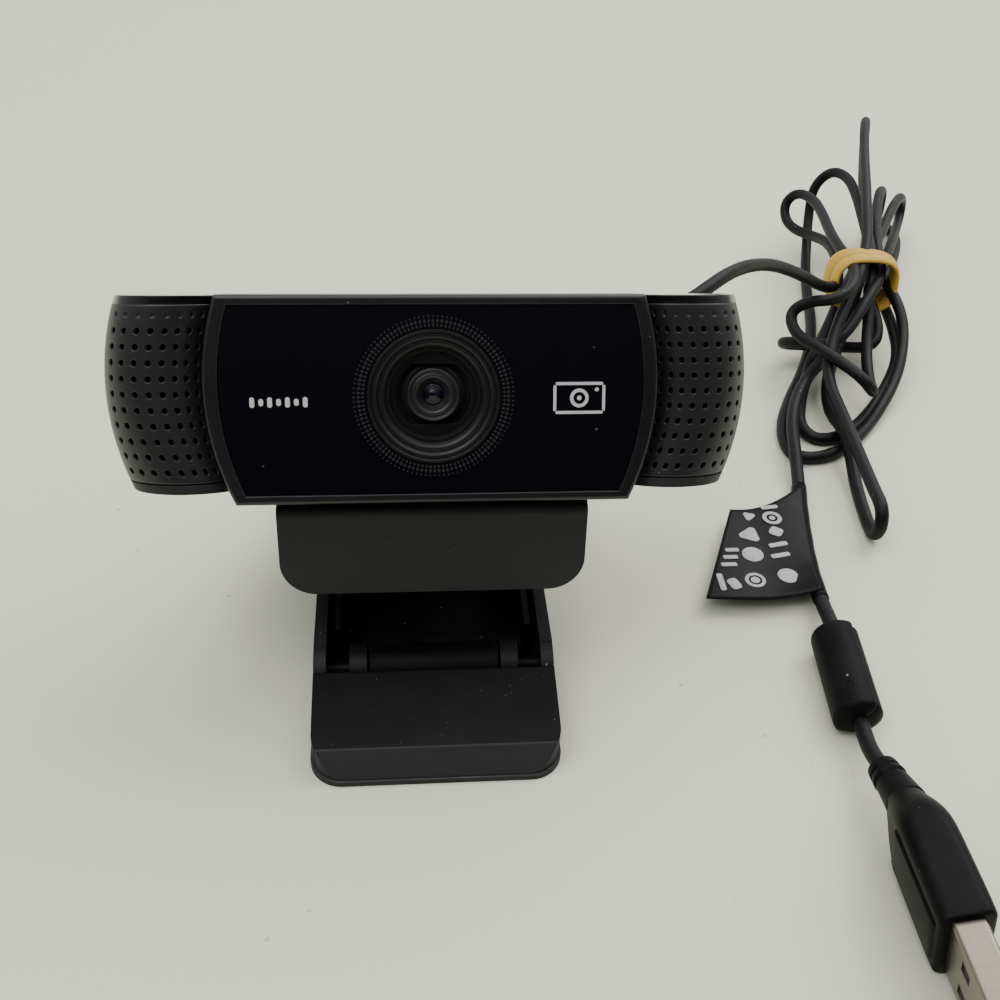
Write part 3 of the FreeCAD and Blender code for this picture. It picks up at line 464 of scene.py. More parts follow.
def filterGlass():
    tree = startMaterial("filterGlass", IOR=1.52, Coat_Weight=0.5)
    flow = effect(tree, "grain", 2.0, 0.3)["Flow"]
    finish(tree, blendTone(tree, flow, (0.02, 0.09, 0.10), (0.05, 0.14, 0.13)),
           plus(tree, 0.04, times(tree, flow, 0.06)))


def sensorDie():
    tree = startMaterial("sensorDie", IOR=1.5, Coat_Weight=0.6)
    rows = addNode(tree, "ShaderNodeTexWave", {"Vector": objectSpot(tree), "Scale": 2500.0}, wave_type="BANDS",
                   bands_direction="DIAGONAL").outputs["Fac"]
    finish(tree, blendTone(tree, rows, (0.03, 0.05, 0.06), (0.09, 0.05, 0.12)),
           plus(tree, 0.12, times(tree, rows, 0.1)))


def circuitBoard():  # solder mask over etched tracks
    tree = startMaterial("circuitBoard", IOR=1.5, Coat_Weight=0.4, Coat_Roughness=0.15)
    spot = objectSpot(tree)
    tracks = addNode(tree, "ShaderNodeTexBrick", {"Vector": spot, "Scale": 260.0, "Mortar Size": 0.06,
                                                  "Mortar Smooth": 0.1, "Bias": 0.0, "Brick Width": 0.9,
                                                  "Row Height": 0.16}).outputs["Fac"]
    pads = addNode(tree, "ShaderNodeTexVoronoi", {"Vector": spot, "Scale": 420.0, "Randomness": 0.4},
                   distance="CHEBYCHEV")
    pad = math2(tree, "LESS_THAN", pads.outputs["Distance"], 0.16)
    mask = blendTone(tree, tracks, (0.006, 0.050, 0.024), (0.012, 0.100, 0.045))
    finish(tree, blendTone(tree, pad, mask, (0.55, 0.50, 0.36)), minus(tree, 0.42, times(tree, pad, 0.15)),
           tracks, 0.4, 0.03, metal=times(tree, pad, 0.8))


def acousticCloth():  # woven cloth behind the grilles
    tree = startMaterial("acousticCloth", Sheen_Weight=0.4, Sheen_Roughness=0.5)
    spot = objectSpot(tree)
    warp, weft = (addNode(tree, "ShaderNodeTexWave", {"Vector": spot, "Scale": 1100.0}, bands_direction=way)
                  for way in "XZ")
    weave = times(tree, warp.outputs["Fac"], weft.outputs["Fac"])
    finish(tree, blendTone(tree, weave, (0.003, 0.003, 0.003), (0.016, 0.016, 0.017)),
           plus(tree, 0.8, times(tree, weave, 0.15)), weave, 0.5, 0.1)


def cordJacket():  # soft vinyl, with faint drawing lines along it and scuffs
    tree = startMaterial("cordJacket", IOR=1.5, Specular_IOR_Level=0.22)
    route = addNode(tree, "ShaderNodeUVMap", uv_map="along").outputs[0]
    laid = addNode(tree, "ShaderNodeMapping", {"Vector": route, "Scale": (60.0, 12.0, 1.0)})
    lines = noise(tree, laid.outputs[0], 1.0, 4.0)
    grain = effect(tree, "grain", 3.0, 0.12)
    dust = effect(tree, "dust", 0.4, 0.08, 0.03)["Dust"]
    tone = blendTone(tree, grain["Flow"], (0.0014, 0.0014, 0.0018), (0.0034, 0.0034, 0.0041))
    tone = blendTone(tree, times(tree, lines, 0.25), tone, (0.0060, 0.0060, 0.0068))
    tone = blendTone(tree, times(tree, dust, 0.8), tone, (0.26, 0.25, 0.23))
    rough = plus(tree, plus(tree, 0.40, times(tree, grain["Flow"], 0.22)), times(tree, dust, 0.4), True)
    finish(tree, tone, rough, plus(tree, times(tree, lines, 0.7), grain["Height"]), 0.2, 0.03)


def tanRubber():  # rolled rubber band, paler where it stretches
    tree = startMaterial("tanRubber", IOR=1.5, Specular_IOR_Level=0.4, Subsurface_Weight=0.15,
                         Subsurface_Scale=0.002)
    flow = effect(tree, "grain", 2.0, 0.35)["Flow"]
    edge = effect(tree, "wearAndHighlight", 0.4, 0.7)["Edge"]
    speck = effect(tree, "dust", 0.6, 0.1, 0.1)["Speck"]
    tone = blendTone(tree, flow, (0.42, 0.235, 0.020), (0.68, 0.43, 0.060))
    tone = blendTone(tree, times(tree, edge, 0.5), tone, (0.76, 0.53, 0.13))
    tone = blendTone(tree, times(tree, speck, 0.6), tone, (0.10, 0.07, 0.04))
    finish(tree, tone, plus(tree, 0.42, times(tree, flow, 0.25)), flow, 0.35, 0.08)


def labelFilm():  # thin gloss film, slightly rippled
    tree = startMaterial("labelFilm", IOR=1.48, Specular_IOR_Level=0.1)
    wipe = effect(tree, "wipe", 0.5, 0.12)
    dust = effect(tree, "dust", 0.5, 0.07, 0.02)["Dust"]
    tone = blendTone(tree, wipe["Smear"], (0.0012, 0.0012, 0.0018), (0.0026, 0.0026, 0.0034))
    tone = blendTone(tree, dust, tone, (0.25, 0.25, 0.24))
    rough = plus(tree, plus(tree, 0.24, times(tree, wipe["Smear"], 0.15)), times(tree, wipe["Lines"], 0.1), True)
    finish(tree, tone, rough, wipe["Smear"], 0.25, 0.08)


def labelInk():  # pale screen print, a little uneven
    tree = startMaterial("labelInk", IOR=1.45)
    grain = effect(tree, "grain", 4.0, 0.5)
    speck = effect(tree, "dust", 0.6, 0.12, 0.1)["Speck"]
    tone = blendTone(tree, grain["Flow"], (0.34, 0.34, 0.33), (0.60, 0.60, 0.58))
    tone = blendTone(tree, times(tree, grain["Speckle"], 0.3), tone, (0.2, 0.2, 0.2))
    tone = blendTone(tree, times(tree, speck, 0.7), tone, (0.1, 0.1, 0.1))
    finish(tree, tone, plus(tree, 0.4, times(tree, grain["Flow"], 0.2)))


def lensRing():  # satin ring turned with fine concentric lines about the lens axis
    tree = startMaterial("lensRing", IOR=1.5, Specular_IOR_Level=0.3)

    def vector(operation, a, b=None, **more):
        feeds = {0: a} if b is None else {0: a, 1: b}
        return addNode(tree, "ShaderNodeVectorMath", feeds | more, operation=operation).outputs

    centre = headFrame @ (Vector((0, 0, 0.5)) * mm)
    axis = tuple(headFrame.to_3x3() @ Vector((0, 1, 0)))
    laid = vector("SUBTRACT", objectSpot(tree), tuple(centre))[0]
    back = vector("SCALE", axis, Scale=vector("DOT_PRODUCT", laid, axis)["Value"])[0]
    radius = vector("LENGTH", vector("SUBTRACT", laid, back)[0])["Value"]
    lines = math2(tree, "SINE", times(tree, radius, 2 * math.pi / (0.32 * mm)))
    lines = plus(tree, times(tree, lines, 0.5), 0.5)
    flow = effect(tree, "grain", 8.0, 0.1)["Flow"]
    tone = blendTone(tree, lines, (0.0044, 0.0043, 0.0054), (0.0080, 0.0079, 0.0096))
    tone = blendTone(tree, times(tree, flow, 0.4), tone, (0.0115, 0.0115, 0.0125))
    finish(tree, tone, plus(tree, 0.34, times(tree, flow, 0.1)), lines, 0.5, 0.05)


for make in (windowGloss, coatedLens, filterGlass, sensorDie, circuitBoard, acousticCloth, cordJacket, tanRubber,
             labelFilm, labelInk, lensRing):
    make()
print("materials made,", len(looks))

finishes = {  # each look and the CAD parts that take it
    "frameTrim": ["front_frame"], "windowGloss": ["front_window"], "roofGloss": ["roof_strip"],
    "rearShell": ["rear_housing", "cord_gland"], "acousticCloth": ["right_acoustic_cloth", "left_acoustic_cloth"],
    "coatedLens": ["rear_lens", "front_lens"], "coilCopper": ["focus_coil"],
    "holderDark": ["lens_holder", "inner_lead", "ferrite_cord"], "magnetNickel": ["focus_magnets", "microphones"],
    "filterGlass": ["infrared_filter"], "sensorDie": ["image_sensor"],
    "circuitBoard": ["sensor_board", "main_board", "microphone_boards"], "pinSteel": ["chassis", "chassis_screws"],
    "chipEpoxy": ["processor"], "spreaderAluminium": ["heat_spreader"], "clipMatte": ["clip_plate"],
    "padRubber": ["lip_pad", "plate_pad", "arm_pad"],
    "darkSteel": ["tilt_pin", "tilt_washers", "rear_pin", "rear_washers", "foot_pin"],
    "armMatte": ["arm_shell"], "insertBrass": ["tripod_insert"], "footMatte": ["foot_shell"],
    "soleRubber": ["foot_pad"], "ferriteCeramic": ["ferrite_core"], "insulatorDark": ["plug_insulator"],
    "contactGold": ["plug_contacts"], "wingShell": ["right_grille", "left_grille"], "lensRing": ["lens_trim_ring"],
    "cupDark": ["lens_cup"], "barrelDark": ["lens_barrel"], "chokeShell": ["ferrite_cover"],
    "plugShell": ["plug_body", "plug_relief"], "plugNickel": ["plug_shell"], "tanRubber": ["rubber_band"],
    "labelFilm": ["label_flag"],
}
for look, parts in finishes.items():  # a CAD part keeps its shape and takes the finish
    for part in parts:
        slots = nodes[part].data.materials
        if not slots:
            slots.append(looks[look])
        for index in range(len(slots)):
            slots[index] = looks[look]

# the table top and the light
table = {"size": 6.0, "colour": (0.715, 0.71, 0.575), "speck": (0.36, 0.35, 0.31), "specks per metre": 170.0}


def tableTop(p):
    work = bmesh.new()
    bmesh.ops.create_grid(work, x_segments=2, y_segments=2, size=p["size"] / 2)
    mesh = bpy.data.meshes.new("tableTop")
    work.to_mesh(mesh)
    work.free()
    tree = startMaterial("paleTable", Specular_IOR_Level=0.2)
    mesh.materials.append(looks["paleTable"])
    spot = objectSpot(tree)
    cloud = noise(tree, spot, 6.0, 6.0)
    cells = addNode(tree, "ShaderNodeTexVoronoi", {"Vector": spot, "Scale": p["specks per metre"]})
    pick = addNode(tree, "ShaderNodeSeparateColor", {0: cells.outputs["Color"]}).outputs[0]
    speck = math2(tree, "LESS_THAN", cells.outputs["Distance"],
                  times(tree, math2(tree, "POWER", pick, 5.0), 0.075))
    tone = blendTone(tree, cloud, [c * 0.97 for c in p["colour"]], p["colour"])
    finish(tree, blendTone(tree, times(tree, speck, 0.6), tone, p["speck"]), plus(tree, 0.6, times(tree, cloud, 0.2)))
    newObject("tableTop", mesh)


tableTop(table)


def softBox(name, place, aim, size, power, colour):
    data = bpy.data.lights.new(name, "AREA")
    data.shape = "RECTANGLE"
    data.size, data.size_y = size
    data.energy = power
    data.color = colour
    lamp = newObject(name, data)
    lamp.location = place
    lamp.rotation_euler = (Vector(aim) - Vector(place)).to_track_quat("-Z", "Y").to_euler()


lights = {  # place, aim, size in metres, watts, colour
    "windowLight": ((0.62, 0.50, 0.90), (0.02, 0.0, 0.02), (0.90, 0.75), 9.5, (1.0, 0.985, 0.96)),
    "frontFill": ((-0.55, -0.25, 1.10), (0.02, 0.0, 0.02), (0.7, 0.7), 5.0, (0.97, 0.98, 1.0)),
    "overheadFill": ((-0.1, 0.1, 1.3), (0.0, 0.0, 0.0), (1.4, 1.4), 8.0, (1, 1, 1)),
}
for name, setting in lights.items():
    softBox(name, *setting)


def roomSky():  # pale overhead and behind, dim low down in front
    sky = bpy.data.worlds.new("room")
    sky.use_nodes = True
    tree = sky.node_tree
    way = addNode(tree, "ShaderNodeSeparateXYZ", {0: addNode(tree, "ShaderNodeTexCoord").outputs["Generated"]})
    lean = plus(tree, times(tree, way.outputs["Y"], 0.8), times(tree, way.outputs["Z"], 1.2))
    tone = shades(tree, plus(tree, lean, 0.45, True), (0.0, 0.012), (0.45, 0.12), (1.0, (0.88, 0.92, 0.96)))
    seen = addNode(tree, "ShaderNodeLightPath").outputs["Is Camera Ray"]
    tree.links.new(blendTone(tree, seen, tone, (0.60, 0.61, 0.62)), tree.nodes["Background"].inputs[0])
    tree.nodes["Background"].inputs[1].default_value = 0.9
    bpy.context.scene.world = sky


roomSky()
print("table and light set")

# the lead: from the gland down behind the clip, through the hank, to the choke and the plug
cord = {"radius": 1.3, "sides": 16, "smoothness": 12, "length": 1.6}
leadRoute = [(31.0, 11.72, 38.85), (31.0, 19.67, 34.62), (34.5, 25.5, 34.2), (41.0, 29.0, 38.4), (50.0, 33.5, 42.4),
             (59.0, 43.5, 42.2), (69.5, 56.0, 37.0), (80.5, 67.5, 29.0), (93.5, 79.5, 18.2)]
# the hank's bights in the order in which the cord makes them
hankRoute = [
    # small far loop on the left
    (99.8, 88, 14.8), (102.8, 97, 14.2), (105.2, 107, 13.6), (106.4, 117, 11.8), (105.4, 125, 9.4),
    (102.6, 131, 8.2), (101.2, 136.0, 9.2), (101.4, 138.5, 12.8), (104.2, 138.0, 15.8), (106.2, 131, 17.0),
    (105.4, 121, 17.6), (103.4, 109, 18.4), (101.9, 97, 19.6), (102.0, 86, 20.6),
    # near bight that crosses the bundle
    (98.5, 76, 21.0), (93.0, 71.5, 19.8), (87.6, 74.0, 18.2), (84.0, 74.4, 15.0), (84.4, 69.4, 12.4),
    (88.0, 64.2, 12.2), (92.4, 58.0, 11.6), (95.4, 53.2, 10.8), (98.2, 52.0, 7.8), (99.8, 58, 5.6),
    (102.0, 68, 6.6), (104.6, 78, 12.0),
    # far arch, whose left strand comes back outside the band
    (107.2, 88, 19.8), (109.4, 98, 20.8), (111.6, 110, 21.4), (113.8, 122, 22.2), (114.8, 133, 22.6),
    (112.4, 139.0, 21.6), (108.8, 140.0, 16.5), (107.8, 136, 9.8), (106.0, 128, 4.6), (103.2, 118, 2.4),
    (100.4, 106, 1.6), (98.2, 95, 1.4), (94.5, 83, 1.4),
    # outer near loop
    (89.2, 71, 1.4), (82.1, 58.5, 1.6), (77.4, 48, 1.4), (76.8, 38.6, 1.4), (82.6, 37.2, 1.4), (90.2, 41.0, 1.4),
    (99.3, 51, 1.6), (107.9, 62.5, 4.6), (112.4, 73, 8.5), (113.6, 81, 12.0),
    # tall far loop
    (112.0, 90, 14.8), (112.8, 100, 15.0), (115.4, 112, 15.6), (118.7, 125, 16.8), (122.2, 139, 17.6),
    (126.6, 152, 18.0), (129.2, 160.6, 20.0), (128.0, 160.6, 27.6), (124.2, 152, 29.4), (118.8, 135.5, 28.2),
    (114.2, 119.4, 27.0), (110.0, 105, 25.4), (107.0, 94, 23.4),
    # long near bight
    (103.0, 84, 20.0), (96.6, 74.5, 16.8), (91.4, 65, 10.6), (88.8, 55.5, 8.4), (88.0, 42.5, 8.6), (87.0, 29, 8.6),
    (86.2, 18, 8.6), (86.0, 12.2, 8.6), (86.0, 10.4, 5.0), (86.0, 12.2, 1.4), (86.5, 19, 1.4), (87.8, 28.6, 1.4),
    (88.8, 36.5, 3.6), (89.4, 43, 4.4), (89.6, 53, 2.2), (91.4, 62, 3.4), (95.2, 70, 5.4), (99.8, 78, 8.6),
    # low far bight under the others
    (105.2, 89, 14.2), (109.8, 98, 11.4), (115.6, 109.5, 7.2), (121.0, 121, 4.6), (125.5, 132, 2.4),
    (128.6, 142, 1.4), (131.6, 148.5, 1.4), (136.6, 147.0, 1.4), (136.2, 139.0, 1.4), (132.4, 130, 1.6),
    (127.4, 120.5, 2.8), (121.8, 110.0, 5.0), (116.2, 100, 7.2),
    # inner near loop
    (111.6, 90, 11.0), (112.2, 80, 8.2), (111.6, 71.5, 4.6), (105.2, 61.5, 1.5), (96.8, 50.8, 1.4),
    (89.8, 44.8, 1.4), (83.9, 43.8, 1.4), (81.8, 49.0, 1.6), (83.8, 56, 2.6), (86.6, 62.5, 4.2), (90.6, 71, 5.8),
    (95.4, 78, 8.2),
    # short far bight on the right
    (101.2, 88, 12.0), (106.8, 98, 10.6), (113.0, 109, 10.4), (118.8, 119, 9.6), (124.4, 130, 8.4),
    (128.4, 138.0, 7.8), (129.8, 141.5, 12.2), (127.6, 138.0, 16.8), (123.6, 130.5, 18.8), (118.8, 119, 19.4),
    (114.8, 108.5, 19.8), (111.4, 97, 19.4),
    # near bight that turns at the left
    (109.4, 86.5, 18.2), (103.2, 78, 16.0), (96.6, 70, 11.4), (91.0, 68.5, 9.6), (86.4, 71.0, 9.2),
    (83.8, 74.5, 7.2), (86.2, 78.0, 4.4), (92.5, 78.0, 4.2), (99.0, 76, 4.8), (106.0, 74.0, 5.8),
    (108.6, 79.0, 8.5),
    # slanted far bight
    (107.4, 88, 12.4), (112.6, 97.5, 11.6), (120.2, 109.5, 10.6), (127.5, 123.5, 8.0), (133.8, 136.5, 5.4),
    (137.6, 144.0, 4.8), (138.4, 146.5, 8.8), (135.8, 143.0, 12.8), (129.6, 133, 14.4), (121.8, 118.5, 15.8),
    (115.4, 106.5, 17.2), (109.2, 96.5, 17.2),
    # down to the tail
    (104.4, 88, 16.8), (100.2, 80, 12.4), (96.0, 73.5, 8.8), (91.0, 66.5, 7.0), (85.0, 59, 6.8), (80.8, 52, 5.8),
    (78.4, 45, 4.7)]
tailRoute = [(77.2, 38.5, 4.3), (76.0, 30.0, 2.2), (73.2, 17.5, 1.5), (70.8, 3.5, 1.5), (69.51, -7.24, 3.0),
             (68.97, -13.2, 4.2)]
chokeBack = Vector((68.7, -16.2, 4.2))
chokeWay = Vector((-0.09, -1, 0)).normalized()
choke = {"length": 19.0, "radius": 4.2, "step": 0.42, "inset": 0.9, "edge": 0.9, "seam": 0.22, "turn": 215}
chokeFront = chokeBack + chokeWay * choke["length"]
reliefTip = Vector((66.6, -45.0, 5.6))
plugBack = Vector((67.0, -52.0, 7.3))
reliefWay = (plugBack - reliefTip).normalized()
plugRoute = [chokeBack - chokeWay * 0.5, chokeBack + chokeWay * 6, chokeBack + chokeWay * 13, chokeFront,
             chokeFront + chokeWay * 3.6, reliefTip - reliefWay * 3.6, reliefTip, reliefTip + reliefWay * 2.5]


def smoothLine(name, points, resolution):  # points along a smooth spline through a route
    data = bpy.data.curves.new(name, "CURVE")
    data.dimensions = "3D"
    line = data.splines.new("NURBS")
    line.points.add(len(points) - 1)
    for knot, spot in zip(line.points, points):
        knot.co = (*spot, 1)
    line.order_u = 3
    line.use_endpoint_u = True
    line.resolution_u = resolution
    holder = newObject(name, data)
    mesh = evaluated(holder)
    spots = [v.co.copy() for v in mesh.vertices]
    bpy.data.meshes.remove(mesh)
    bpy.data.objects.remove(holder)
    bpy.data.curves.remove(data)
    return spots


def frameAlong(spots):  # a steady pair of side vectors at each point of a line
    tangents = [(spots[min(i + 1, len(spots) - 1)] - spots[max(i - 1, 0)]).normalized()
                for i in range(len(spots))]
    side = tangents[0].orthogonal().normalized()
    frames = []
    for t in tangents:
        side = (side - t * side.dot(t)).normalized()
        frames.append((t, side, t.cross(side)))
    return frames


def tube(name, spots, radiusAt, sides):  # radiusAt gives the radius at a distance along it
    frames = frameAlong(spots)
    travel = [0.0]
    for a, b in zip(spots, spots[1:]):
        travel.append(travel[-1] + (b - a).length)
    points = []
    for k, (spot, (t, u, w)) in enumerate(zip(spots, frames)):
        r = radiusAt(travel[k])
        for i in range(sides):
            a = 2 * math.pi * i / sides
            points.append(spot + (u * math.cos(a) + w * math.sin(a)) * r)
    faces = bandFaces(len(spots), sides)
    faces.append(tuple(range(sides - 1, -1, -1)))
    faces.append(tuple((len(spots) - 1) * sides + i for i in range(sides)))
    mesh = meshFrom(name, points, faces)
    uv = mesh.uv_layers.new(name="along")
    for face in mesh.polygons:
        ring = {mesh.loops[li].vertex_index % sides for li in face.loop_indices}
        wraps = len(face.vertices) == 4 and 0 in ring and sides - 1 in ring
        for li in face.loop_indices:
            k, i = divmod(mesh.loops[li].vertex_index, sides)
            uv.data[li].uv = (travel[k] * 10, (sides if wraps and i == 0 else i) / sides)
    return mesh


cordLine = smoothLine("cordLine", inMetres(leadRoute + hankRoute + tailRoute) + [p * mm for p in plugRoute],
                      cord["smoothness"])
cordPiece = newObject("cord", tube("cord", cordLine, lambda travel: cord["radius"] * mm, cord["sides"]))
cordPiece.data.materials.append(looks["cordJacket"])
print("cord laid,", round(sum((b - a).length for a, b in zip(cordLine, cordLine[1:])), 4), "m")

# geometry trees


def newTree(name, inputs):
    tree = bpy.data.node_groups.new(name, "GeometryNodeTree")
    for label, kind in inputs:
        tree.interface.new_socket(label, in_out="INPUT", socket_type="NodeSocket" + kind)
    tree.interface.new_socket("Geometry", in_out="OUTPUT", socket_type="NodeSocketGeometry")
    return tree, tree.nodes.new("NodeGroupInput"), tree.nodes.new("NodeGroupOutput")


def grown(name, tree, values):  # a tree run once on an empty piece, then kept as a plain mesh
    piece = newObject(name, bpy.data.meshes.new(name))
    growth = piece.modifiers.new("growth", "NODES")
    growth.node_group = tree
    for item in tree.interface.items_tree:
        if item.in_out == "INPUT" and item.name in values:
            growth[item.identifier] = values[item.name]
    mesh = evaluated(piece)
    bpy.data.objects.remove(piece)
    return mesh


def compare(tree, operation, a, b):
    return addNode(tree, "FunctionNodeCompare", {0: a, 1: b}, data_type="FLOAT", operation=operation).outputs[0]


def both(tree, a, b, operation="AND"):
    return addNode(tree, "FunctionNodeBooleanMath", {0: a, 1: b}, operation=operation).outputs[0]


def clampTo(tree, value, low, high):
    return addNode(tree, "ShaderNodeClamp", {"Value": value, "Min": low, "Max": high}).outputs[0]


grille = {"Columns": 8, "Rows": 11, "Row pitch": 2.2, "Lowest row": -10.1, "Hole depth": 1.0, "Dimple depth": 0.28,
          "Hole width": 0.90, "Thickness": 1.4, "Barrel": 8.5, "Axis x": 38.5, "Axis y": 10.0, "Bow": 38.0,
          "Bow centre": 2.2, "Top": 13.3, "Side wall": 3.0, "First angle": 6.1, "Column angle": 13.3,
          "Angle growth": 0.45, "Corner angle": 13.85}  # mm and degrees


def grilleTree():  # a sheet of cells, holes pushed in, then wrapped round the bowed wing
    sizes = [(k, "Int" if isinstance(v, int) else "Float") for k, v in grille.items()]
    t, into, out = newTree("wingGrille", sizes + [("Shell", "Material"), ("Inside", "Material")])
    g = into.outputs
    wide = plus(t, times(t, g["Columns"], 2.0), 5.0)  # four plain cells at the outer side
    high = plus(t, times(t, g["Rows"], 2.0), 1.0)

    def sheet():
        grid = addNode(t, "GeometryNodeMeshGrid", {"Size X": wide, "Size Y": high,
                                                   "Vertices X": plus(t, wide, 1.0),
                                                   "Vertices Y": plus(t, high, 1.0)})
        shift = addNode(t, "ShaderNodeCombineXYZ", {0: times(t, wide, 0.5),
                                                    1: times(t, high, 0.5)})
        return addNode(t, "GeometryNodeSetPosition", {"Geometry": grid.outputs[0], "Offset": shift.outputs[0]})

    front = sheet()
    spot = addNode(t, "GeometryNodeInputPosition").outputs[0]
    apart = addNode(t, "ShaderNodeSeparateXYZ", {0: spot})
    x, y = apart.outputs["X"], apart.outputs["Y"]
    oddX = compare(t, "GREATER_THAN", math2(t, "MODULO", x, 2.0), 1.01)
    oddY = compare(t, "GREATER_THAN", math2(t, "MODULO", y, 2.0), 1.01)
    within = compare(t, "LESS_THAN", x, minus(t, wide, 4.5))
    hole = both(t, both(t, oddX, oddY), within)
    topRow = compare(t, "GREATER_THAN", y, minus(t, high, 2.5))
    depth = addNode(t, "GeometryNodeSwitch", {"Switch": topRow, "False": g["Hole depth"], "True": g["Dimple depth"]},
                    input_type="FLOAT").outputs[0]
    rim = addNode(t, "GeometryNodeExtrudeMesh", {"Mesh": front.outputs[0], "Selection": hole, "Offset Scale": 0.0,
                                                 "Individual": True}, mode="FACES")
    tight = addNode(t, "GeometryNodeScaleElements", {"Geometry": rim.outputs["Mesh"], "Selection": rim.outputs["Top"],
                                                     "Scale": g["Hole width"]}, domain="FACE")
    shaft = addNode(t, "GeometryNodeExtrudeMesh", {"Mesh": tight.outputs[0], "Selection": rim.outputs["Top"],
                                                   "Offset Scale": times(t, depth, -1.0),
                                                   "Individual": True}, mode="FACES")
    # the hole walls and floors are marked to take the painted shade
    deeper = both(t, both(t, shaft.outputs["Top"], shaft.outputs["Side"], "OR"), topRow, "NIMPLY")
    marked = addNode(t, "GeometryNodeStoreNamedAttribute", {"Geometry": shaft.outputs["Mesh"], "Name": "inside",
                                                            "Value": deeper}, data_type="BOOLEAN", domain="FACE")
    sharing = addNode(t, "GeometryNodeInputMeshEdgeNeighbors").outputs[0]
    lone = addNode(t, "FunctionNodeCompare", {2: sharing, 3: 1}, data_type="INT", operation="EQUAL").outputs[0]
    down = addNode(t, "ShaderNodeCombineXYZ", {2: times(t, g["Thickness"], -1.0)}).outputs[0]
    wall = addNode(t, "GeometryNodeExtrudeMesh", {"Mesh": marked.outputs[0], "Selection": lone, "Offset": down},
                   mode="EDGES")
    rear = addNode(t, "GeometryNodeSetPosition", {"Geometry": addNode(t, "GeometryNodeFlipFaces",
                                                                      {"Mesh": sheet().outputs[0]}).outputs[0],
                                                  "Offset": down})
    slab = addNode(t, "GeometryNodeJoinGeometry")
    t.links.new(rear.outputs[0], slab.inputs[0])
    t.links.new(wall.outputs["Mesh"], slab.inputs[0])
    closed = addNode(t, "GeometryNodeMergeByDistance", {"Geometry": slab.outputs[0], "Distance": 0.01})
    fromMidX = math2(t, "ABSOLUTE", minus(t, x, times(t, wide, 0.5)))
    fromMidY = math2(t, "ABSOLUTE", minus(t, y, times(t, high, 0.5)))
    border = both(t, compare(t, "GREATER_THAN", fromMidX, minus(t, times(t, wide, 0.5), 0.05)),
                  compare(t, "GREATER_THAN", fromMidY, minus(t, times(t, high, 0.5), 0.05)),
                  "OR")
    crease = addNode(t, "GeometryNodeSwitch", {"Switch": border, "False": 0.0, "True": 0.9},
                     input_type="FLOAT").outputs[0]
    smooth = addNode(t, "GeometryNodeSubdivisionSurface", {"Mesh": closed.outputs[0], "Level": 2,
                                                           "Edge Crease": crease, "Vertex Crease": crease})
    # cell numbers to angles round the wing's barrel, then to its straight outer side
    u, v, lift = addNode(t, "ShaderNodeSeparateXYZ", {0: addNode(t, "GeometryNodeInputPosition").outputs[0]}).outputs
    holeSpan = minus(t, wide, 4.0)
    step = minus(t, times(t, minus(t, math2(t, "MINIMUM", u, holeSpan), 1.5), 0.5),
                 4.0)
    angle = plus(t, plus(t, g["First angle"], times(t, step, g["Column angle"])),
                 times(t, times(t, step, step), g["Angle growth"]))
    past = clampTo(t, minus(t, u, holeSpan), 0.0, 2.0)
    angle = plus(t, angle, times(t, past, g["Corner angle"]))
    angle = math2(t, "RADIANS", math2(t, "MINIMUM", angle, 90.0))
    straight = times(t, clampTo(t, minus(t, minus(t, u, holeSpan), 2.0), 0.0, 2.0),
                     times(t, g["Side wall"], 0.5))
    half = times(t, g["Row pitch"], 0.5)
    z = plus(t, g["Lowest row"], times(t, minus(t, v, 1.5), half))
    z = math2(t, "MINIMUM", z, g["Top"])
    dz = minus(t, z, g["Bow centre"])
    arc = math2(t, "SQRT", minus(t, times(t, g["Bow"], g["Bow"]),
                                 times(t, dz, dz)))
    bow = minus(t, g["Bow"], arc)
    reach = plus(t, g["Barrel"], lift)
    px = minus(t, plus(t, g["Axis x"], times(t, reach, math2(t, "SINE", angle))), bow)
    py = plus(t, minus(t, g["Axis y"], times(t, reach, math2(t, "COSINE", angle))),
              straight)
    wrapped = addNode(t, "ShaderNodeCombineXYZ", {0: px, 1: py, 2: z})
    metres = addNode(t, "ShaderNodeVectorMath", {0: wrapped.outputs[0], "Scale": mm}, operation="SCALE")
    laid = addNode(t, "GeometryNodeSetPosition", {"Geometry": smooth.outputs[0], "Position": metres.outputs[0]})
    rounded = addNode(t, "GeometryNodeSetShadeSmooth", {"Geometry": laid.outputs[0]})
    real = addNode(t, "GeometryNodeRealizeInstances", {"Geometry": rounded.outputs[0]})
    shell = addNode(t, "GeometryNodeSetMaterial", {"Geometry": real.outputs[0], "Material": g["Shell"]})
    # the marked hole faces get the near-black painted shade material
    inside = addNode(t, "GeometryNodeInputNamedAttribute", {"Name": "inside"}, data_type="BOOLEAN")
    dark = addNode(t, "GeometryNodeSetMaterial", {"Geometry": shell.outputs[0], "Material": g["Inside"],
                                                  "Selection": inside.outputs[0]})
    t.links.new(dark.outputs[0], out.inputs[0])
    return t


wingTree = grilleTree()
for side, mirror in (("right", 1), ("left", -1)):
    mesh = grown(side + "Wing", wingTree, grille | {"Shell": looks["wingShell"], "Inside": looks["holePaintedShade"]})
    mesh.transform(Matrix.Scale(mirror, 4, (1, 0, 0)))
    tidyMesh(mesh)
    mesh.transform(headFrame)
    settled(newObject(side + "Wing", mesh), "head", node=side + "_grille")
print("wings pierced")

# the lens
lens = {"height": 0.5, "rings": ((9.95, 0.34, 0.46), (10.55, 0.42, 0.52), (11.2, 0.24, 0.34)), "ticks": 108}


